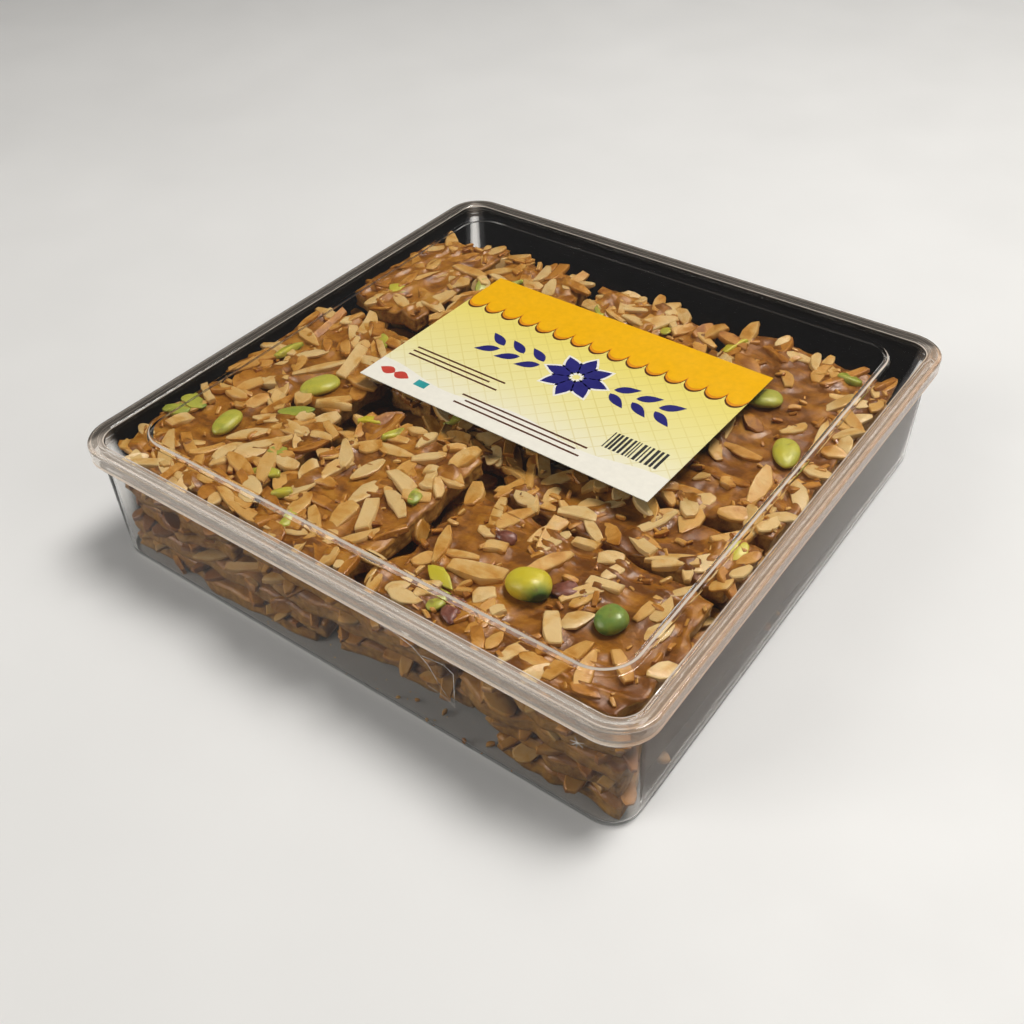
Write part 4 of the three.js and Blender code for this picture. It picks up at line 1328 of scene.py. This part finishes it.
def build_lower_layers():
    almonds = NutPieces("layers", LOWER_GLAZE)
    for layer, slabs in enumerate(lower_slabs()):
        caramel = Joined()
        for slab in slabs:
            random = slab.random("tone")
            vertices, faces = slab_mesh(slab, *LOWER_MESH, slab.main_slivers)
            caramel.add(vertices, faces, between(*LOWER_TONE, random()))
            seen = [side for side, letter in ((LEFT, "l"), (RIGHT, "r"), (FRONT, "f"))
                    if letter in slab.name[-2:]]
            extra = extra_pieces(slab, LOWER_EXTRA_COUNT, *LOWER_EXTRA_LENGTH)
            extra += edge_pieces(slab, seen, LOWER_EDGE_PITCH, STUCK_SHARE)
            for place in slab.main_slivers + extra:
                almonds.add(place, random)
        piece = caramel.piece(f"slab_layer{layer + 1}_caramel", CARAMEL)
        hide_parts(*[slab.name for slab in slabs])
        finish_joined(piece)
    almonds.build()


# Bits of almond skin on the top slabs: slab, place in plan, length, width, turn in degrees.
SKINS = (("slab_top_front_right", (61.2, -68.6), 8.5, 6.5, 35),
         ("slab_top_front_right", (39.8, -95.2), 8.5, 5.5, 120),
         ("slab_top_front_right", (33.4, -60.0), 8.0, 5.0, 10),
         ("slab_top_right", (60.0, 2.0), 7.5, 5.0, 70))
SKIN_THICK = 3.8
SKIN_CRUMPLE = (0.22, 3.2, 3)
# Crumbs on the tray's floor along its front: place in plan and length. Fine ones are strewn
# over an area, at random.
CRUMBS = ((57.0, -101.0, 2.6), (49.7, -104.3, 1.8), (38.2, -99.5, 2.2), (28.1, -100.4, 1.6),
          (35.3, -104.2, 1.2), (22.4, -102.8, 1.4))
FINE_CRUMBS = 40
FINE_CRUMB_AREA = ((-60, 70), (-104.5, -97))
FINE_CRUMB_LENGTH = (0.25, 0.6)
# Hairline cracks in the tray's front wall, as (X, Z) from end to end.
CRACKS = (((22.5, 37.4), (27.4, 37.7), (34.3, 36.0), (39.8, 31.4), (43.9, 24.4), (48.7, 18.5)),
          ((37.7, 34.1), (45.9, 35.4), (49.2, 33.5), (48.9, 26.0), (48.3, 18.3)),
          ((38.9, 21.7), (44.8, 20.8), (48.7, 18.5)),
          ((88.6, 33.4), (91.0, 34.0), (92.8, 33.0)), ((90.0, 35.8), (91.0, 34.0), (90.6, 31.6)),
          ((93.2, 35.2), (91.0, 34.0), (89.2, 31.9)))
CRACK_WIDTH = 0.26
CRACK_DEPTHS = (0.05, -0.03)  # of its faces, in from the wall's outside


def build_skins(slabs):
    skins = Joined()
    for name, (x, y), length, width, turn in SKINS:
        centre = np.array((x, y, slabs[name].plain_top_at(x, y) + 1.0))
        vertices, faces = kernel_mesh(centre, (length, width, SKIN_THICK), turn, round(x * 10), 28, 18)
        swell = 1 + relief(vertices, SKIN_CRUMPLE, x)[:, None]
        skins.add(centre + (vertices - centre) * swell, faces)
    finish_joined(skins.piece("almond_skins", SKIN))


def build_crumbs():
    random = make_random(SMALL_THINGS_SEED)
    crumbs, spots = Joined(), list(CRUMBS)
    for _ in range(FINE_CRUMBS):
        spots.append([between(*limits, random()) for limits in (*FINE_CRUMB_AREA, FINE_CRUMB_LENGTH)])
    for x, y, length in spots:
        place = {"at": (x, y, TRAY_FLOOR + 0.35 * length), "turn": random() * math.pi, "length": length,
                 "width": length * 0.5, "thick": length * 0.4, "kind": "chip"}
        crumbs.add(*cut_nut(place, random)[:2], between(0.1, 0.6, random()))
    finish_joined(crumbs.piece("crumbs", ALMOND))


def build_cracks():
    cracks = Joined()
    for line in CRACKS:
        cracks.add(*crack_ribbon(line))
    finish_joined(cracks.piece("tray_cracks", CRACK_EDGE, False))


def crack_ribbon(line, steps=4):
    """A thin strip on the outside of the tray's front wall along a bent line, fine at its ends."""
    points = [(between(from_x, to_x, k / steps), between(from_z, to_z, k / steps))
              for (from_x, from_z), (to_x, to_z) in zip(line, line[1:]) for k in range(steps)]
    points.append(line[-1])
    vertices = []
    for index, (x, z) in enumerate(points):
        before, after = points[max(index - 1, 0)], points[min(index + 1, len(points) - 1)]
        along = Vector((after[0] - before[0], after[1] - before[1])).normalized()
        thin = CRACK_WIDTH / 2 * math.sin(math.pi * (index + 0.6) / (len(points) + 0.2)) ** 0.5
        up_wall = (z - TRAY_FOOT_ROUND) / (SKIRT_BOTTOM - TRAY_FOOT_ROUND)
        wall = -(HALF - TRAY_INSET - TRAY_DRAFT * (1 - up_wall))
        inner, outer = [wall + depth for depth in CRACK_DEPTHS]
        for side, y in ((-1, inner), (1, inner), (1, outer), (-1, outer)):
            vertices.append((x - along.y * side * thin, y, z + along.x * side * thin))
    return vertices, tube_faces(len(points), 4)


# ------------------------------------------------------------------ label
# The printed design, in millimetres from the label's middle.
INK = 0.03  # thickness of one layer of ink
BAND_FOOT = 23.0  # where the scallops of the top band start
SCALLOP_WIDTH = 8.0
SCALLOP_DEPTH = 5.0
BAND_LAYERS = (("label_band_line", -1.0, "brown"), ("label_band_shade", 0.0, "deep_amber"),
               ("label_band", 1.3, "amber"))
ROSETTE = (4.0, 1.5)
ROSETTE_PETAL = {"start": 2.4, "length": 10.5, "width": 5.6}
HALO_PETAL = {"start": 1.2, "length": 13.0, "width": 7.6}
LEAF_SIZE = (9.5, 3.8)
LEAF_PLACES = (15.0, 24.0, 33.0)
LEAF_SIDES = ((1.2, 32), (-1.2, -32))  # how high it starts and how it tilts
FOOT_HEIGHT = 11.0
FOOT_WAVE = (2.0, 9.0)
# Rows of lines: left end, top row's height, length, how much every other row starts later
# and is shorter.
PRINT_ROWS = ((-54.0, -16.5, 40.0, 0.0, 5.0), (-22.0, -30.0, 52.0, 3.0, 6.0))
PRINT_PITCH = 2.5
PRINT_THICK = 0.8
STRIPES = (33.0, 54.0)
STRIPES_FOOT = -26.0
STRIPES_HEIGHT = 9.0
STRIPE_WIDTH = (0.35, 1.1)
STRIPE_GAP = (0.45, 1.0)
# Inks: colour, and how much it varies.
INKS = {
    "amber": ((0.86, 0.45, 0.003), 0.05),
    "deep_amber": ((0.72, 0.27, 0.01), 0.12),
    "brown": ((0.09, 0.025, 0.008), 0.12),
    "navy": ((0.020, 0.018, 0.160), 0.12),
    "cream": ((0.85, 0.82, 0.72), 0.03),
    "black": ((0.03, 0.03, 0.03), 0.12),
    "teal": ((0.03, 0.32, 0.33), 0.12),
    "red": ((0.55, 0.06, 0.04), 0.12),
}


def turned(x, y, turn):
    return x * math.cos(turn) - y * math.sin(turn), x * math.sin(turn) + y * math.cos(turn)


def on_label(u, v):
    """A point of the label's own plane, from its middle, as the box has it."""
    x, y = turned(u, v, math.radians(LABEL_TURN))
    return LABEL_CENTRE[0] + x, LABEL_CENTRE[1] + y


def print_piece(name, outlines, ink, level):
    """Ink: flat shapes given by their outlines, counterclockwise. A higher level prints on a lower."""
    shapes = Joined()
    low, high = LABEL_TOP - INK / 2, LABEL_TOP + INK * (level + 1)
    for outline in outlines:
        plan = [on_label(u, v) for u, v in outline]
        vertices = [(x, y, z) for z in (low, high) for x, y in plan]
        shapes.add(vertices, tube_faces(2, len(outline)))
    finish_joined(shapes.piece(name, ink, False))


def bar(u, v, width, height):
    return [(u, v), (u + width, v), (u + width, v + height), (u, v + height)]


def scallop_edge(lift, steps=180):
    """The lower edge of the top band: even scallops."""
    half = LABEL_SIZE[0] / 2
    edge = []
    for step in range(steps + 1):
        u = -half + LABEL_SIZE[0] * step / steps
        part = ((u + half) / SCALLOP_WIDTH) % 1
        edge.append((u, BAND_FOOT - SCALLOP_DEPTH * math.sqrt(math.sin(math.pi * part)) + lift))
    return edge


def petal(u, v, length, width, turn, steps=10):
    """A pointed leaf from (u, v) outward. turn is in degrees."""
    parts = [k / steps for k in range(steps + 1)]
    upper = [(length * part, width / 2 * math.sin(math.pi * part ** 0.8)) for part in parts]
    lower = [(x, -y) for x, y in upper]
    placed = [turned(x, y, math.radians(turn)) for x, y in lower + upper[-2:0:-1]]
    return [(u + x, v + y) for x, y in placed]


def rosette(start, length, width):
    """Eight petals round the rosette's middle."""
    petals = []
    for turn in range(0, 360, 45):
        x, y = turned(start, 0, math.radians(turn))
        petals.append(petal(ROSETTE[0] + x, ROSETTE[1] + y, length, width, turn))
    return petals


def small_print():
    lines = []
    for left, top, length, later, shorter in PRINT_ROWS:
        for row in range(3):
            lines.append(bar(left + later * (row % 2), top - PRINT_PITCH * row,
                             length - shorter * (row % 2), PRINT_THICK))
    return lines


def stripes():
    random = make_random(STRIPES_SEED)
    found = []
    u = STRIPES[0]
    while u < STRIPES[1]:
        thick = between(*STRIPE_WIDTH, random())
        found.append(bar(u, STRIPES_FOOT, thick, STRIPES_HEIGHT))
        u += thick + between(*STRIPE_GAP, random())
    return found


def dress_label():
    """A generic printed design: an amber scalloped band, a rosette between leaves, and plain lines."""
    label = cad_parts["label"]
    label.data.materials.clear()
    label.data.materials.append(label_material())
    half_u, half_v = LABEL_SIZE[0] / 2, LABEL_SIZE[1] / 2
    inks = {name: ink_material("ink_" + name, *look) for name, look in INKS.items()}
    for level, (name, lift, ink) in enumerate(BAND_LAYERS):
        band = scallop_edge(lift) + [(half_u, half_v), (-half_u, half_v)]
        print_piece(name, [band], inks[ink], level)
    leaves = [petal(ROSETTE[0] + side * out, ROSETTE[1] + lift, *LEAF_SIZE, 90 - side * 90 + side * tilt)
              for side in (-1, 1) for out in LEAF_PLACES for lift, tilt in LEAF_SIDES]
    print_piece("label_rosette_halo", rosette(**HALO_PETAL), inks["cream"], 0)
    print_piece("label_rosette", rosette(**ROSETTE_PETAL) + leaves, inks["navy"], 1)
    wave = [(u, -half_v + FOOT_HEIGHT + FOOT_WAVE[0] * math.cos(u / FOOT_WAVE[1]))
            for u in np.linspace(half_u, -half_u, 61)]
    print_piece("label_foot", [[(-half_u, -half_v), (half_u, -half_v)] + wave], inks["cream"], 0)
    print_piece("label_small_print", small_print(), inks["brown"], 1)
    print_piece("label_stripes", stripes(), inks["black"], 1)
    print_piece("label_red_mark", [petal(-50.0, -33.5, 6.5, 4.5, turn) for turn in (0, 180)], inks["red"], 1)
    print_piece("label_teal_mark", [bar(-40.0, -35.2, 5.0, 3.4)], inks["teal"], 1)


# ------------------------------------------------------------------ stage, light and camera
FLOOR_HALF = 4000.0
STAGE_HEIGHT = -0.2
# Lamps: azimuth, elevation, distance and size in metres, power in watts, colour.
LAMPS = {
    "soft_top": (150, 66, 1.2, 0.42, 11.7, (1.0, 0.975, 0.94)),
    "soft_front": (-35, 32, 1.3, 0.7, 6.5, (1.0, 0.97, 0.93)),
    "soft_side": (95, 32, 1.5, 0.8, 3.8, (1.0, 0.97, 0.93)),
}
SKY_COLOUR = (0.97, 0.98, 1.0, 1.0)
SKY_STRENGTH = 0.05


def towards(azimuth, elevation):
    """The direction from the box to a place round it. Azimuth 0 is in front, 90 at the right."""
    a, e = math.radians(azimuth), math.radians(elevation)
    return Vector((math.sin(a) * math.cos(e), -math.cos(a) * math.cos(e), math.sin(e)))


def build_stage():
    corners = [(x * FLOOR_HALF, y * FLOOR_HALF, STAGE_HEIGHT) for x, y in CORNER_SIGNS]
    floor = mesh_piece("floor", corners, [(0, 1, 2, 3)], floor_material(), False)


def build_lights():
    for name, (azimuth, elevation, distance, size, power, colour) in LAMPS.items():
        data = bpy.data.lights.new(name, "AREA")
        data.shape = "SQUARE"
        data.size = size
        data.energy = power
        data.color = colour
        lamp = bpy.data.objects.new(name, data)
        bpy.context.scene.collection.objects.link(lamp)
        back = towards(azimuth, elevation)
        lamp.location = back * distance
        lamp.rotation_mode = "QUATERNION"
        lamp.rotation_quaternion = (-back).to_track_quat("-Z", "Y")
    world = bpy.data.worlds.new("studio")
    bpy.context.scene.world = world
    world.use_nodes = True
    background = world.node_tree.nodes["Background"]
    background.inputs["Color"].default_value = SKY_COLOUR
    background.inputs["Strength"].default_value = SKY_STRENGTH


def build_camera():
    data = bpy.data.cameras.new("camera")
    data.sensor_width = SENSOR_WIDTH
    data.lens = CAMERA_LENS
    data.clip_start, data.clip_end = 0.01, 20.0
    camera = bpy.data.objects.new("camera", data)
    bpy.context.scene.collection.objects.link(camera)
    back = towards(CAMERA_AZIMUTH, CAMERA_ELEVATION)
    right = (-back).cross(Vector((0, 0, 1))).normalized()
    up = right.cross(-back)
    roll = math.radians(CAMERA_ROLL)
    rolled_right = right * math.cos(roll) + up * math.sin(roll)
    rolled_up = up * math.cos(roll) - right * math.sin(roll)
    place = back * CAMERA_DISTANCE + rolled_right * CAMERA_SIDESTEP[0] + rolled_up * CAMERA_SIDESTEP[1]
    axes = Matrix((rolled_right, rolled_up, back)).transposed()
    camera.matrix_world = Matrix.Translation(place * MM) @ axes.to_4x4()
    bpy.context.scene.camera = camera


def set_render_look():
    scene = bpy.context.scene
    scene.view_settings.view_transform = "Standard"
    scene.cycles.max_bounces = 20
    scene.cycles.transmission_bounces = 16
    scene.cycles.transparent_max_bounces = 24
    scene.cycles.caustics_reflective = False
    scene.cycles.caustics_refractive = False


build_camera()
box_piece("lid_shell", lid_profile(), True, LID_PLASTIC)
box_piece("tray_shell", tray_profile(), False, TRAY_PLASTIC)
top_slabs = build_top_layer()
build_lower_layers()
build_skins(top_slabs)
build_crumbs()
build_cracks()
dress_label()
build_stage()
build_lights()
set_render_look()
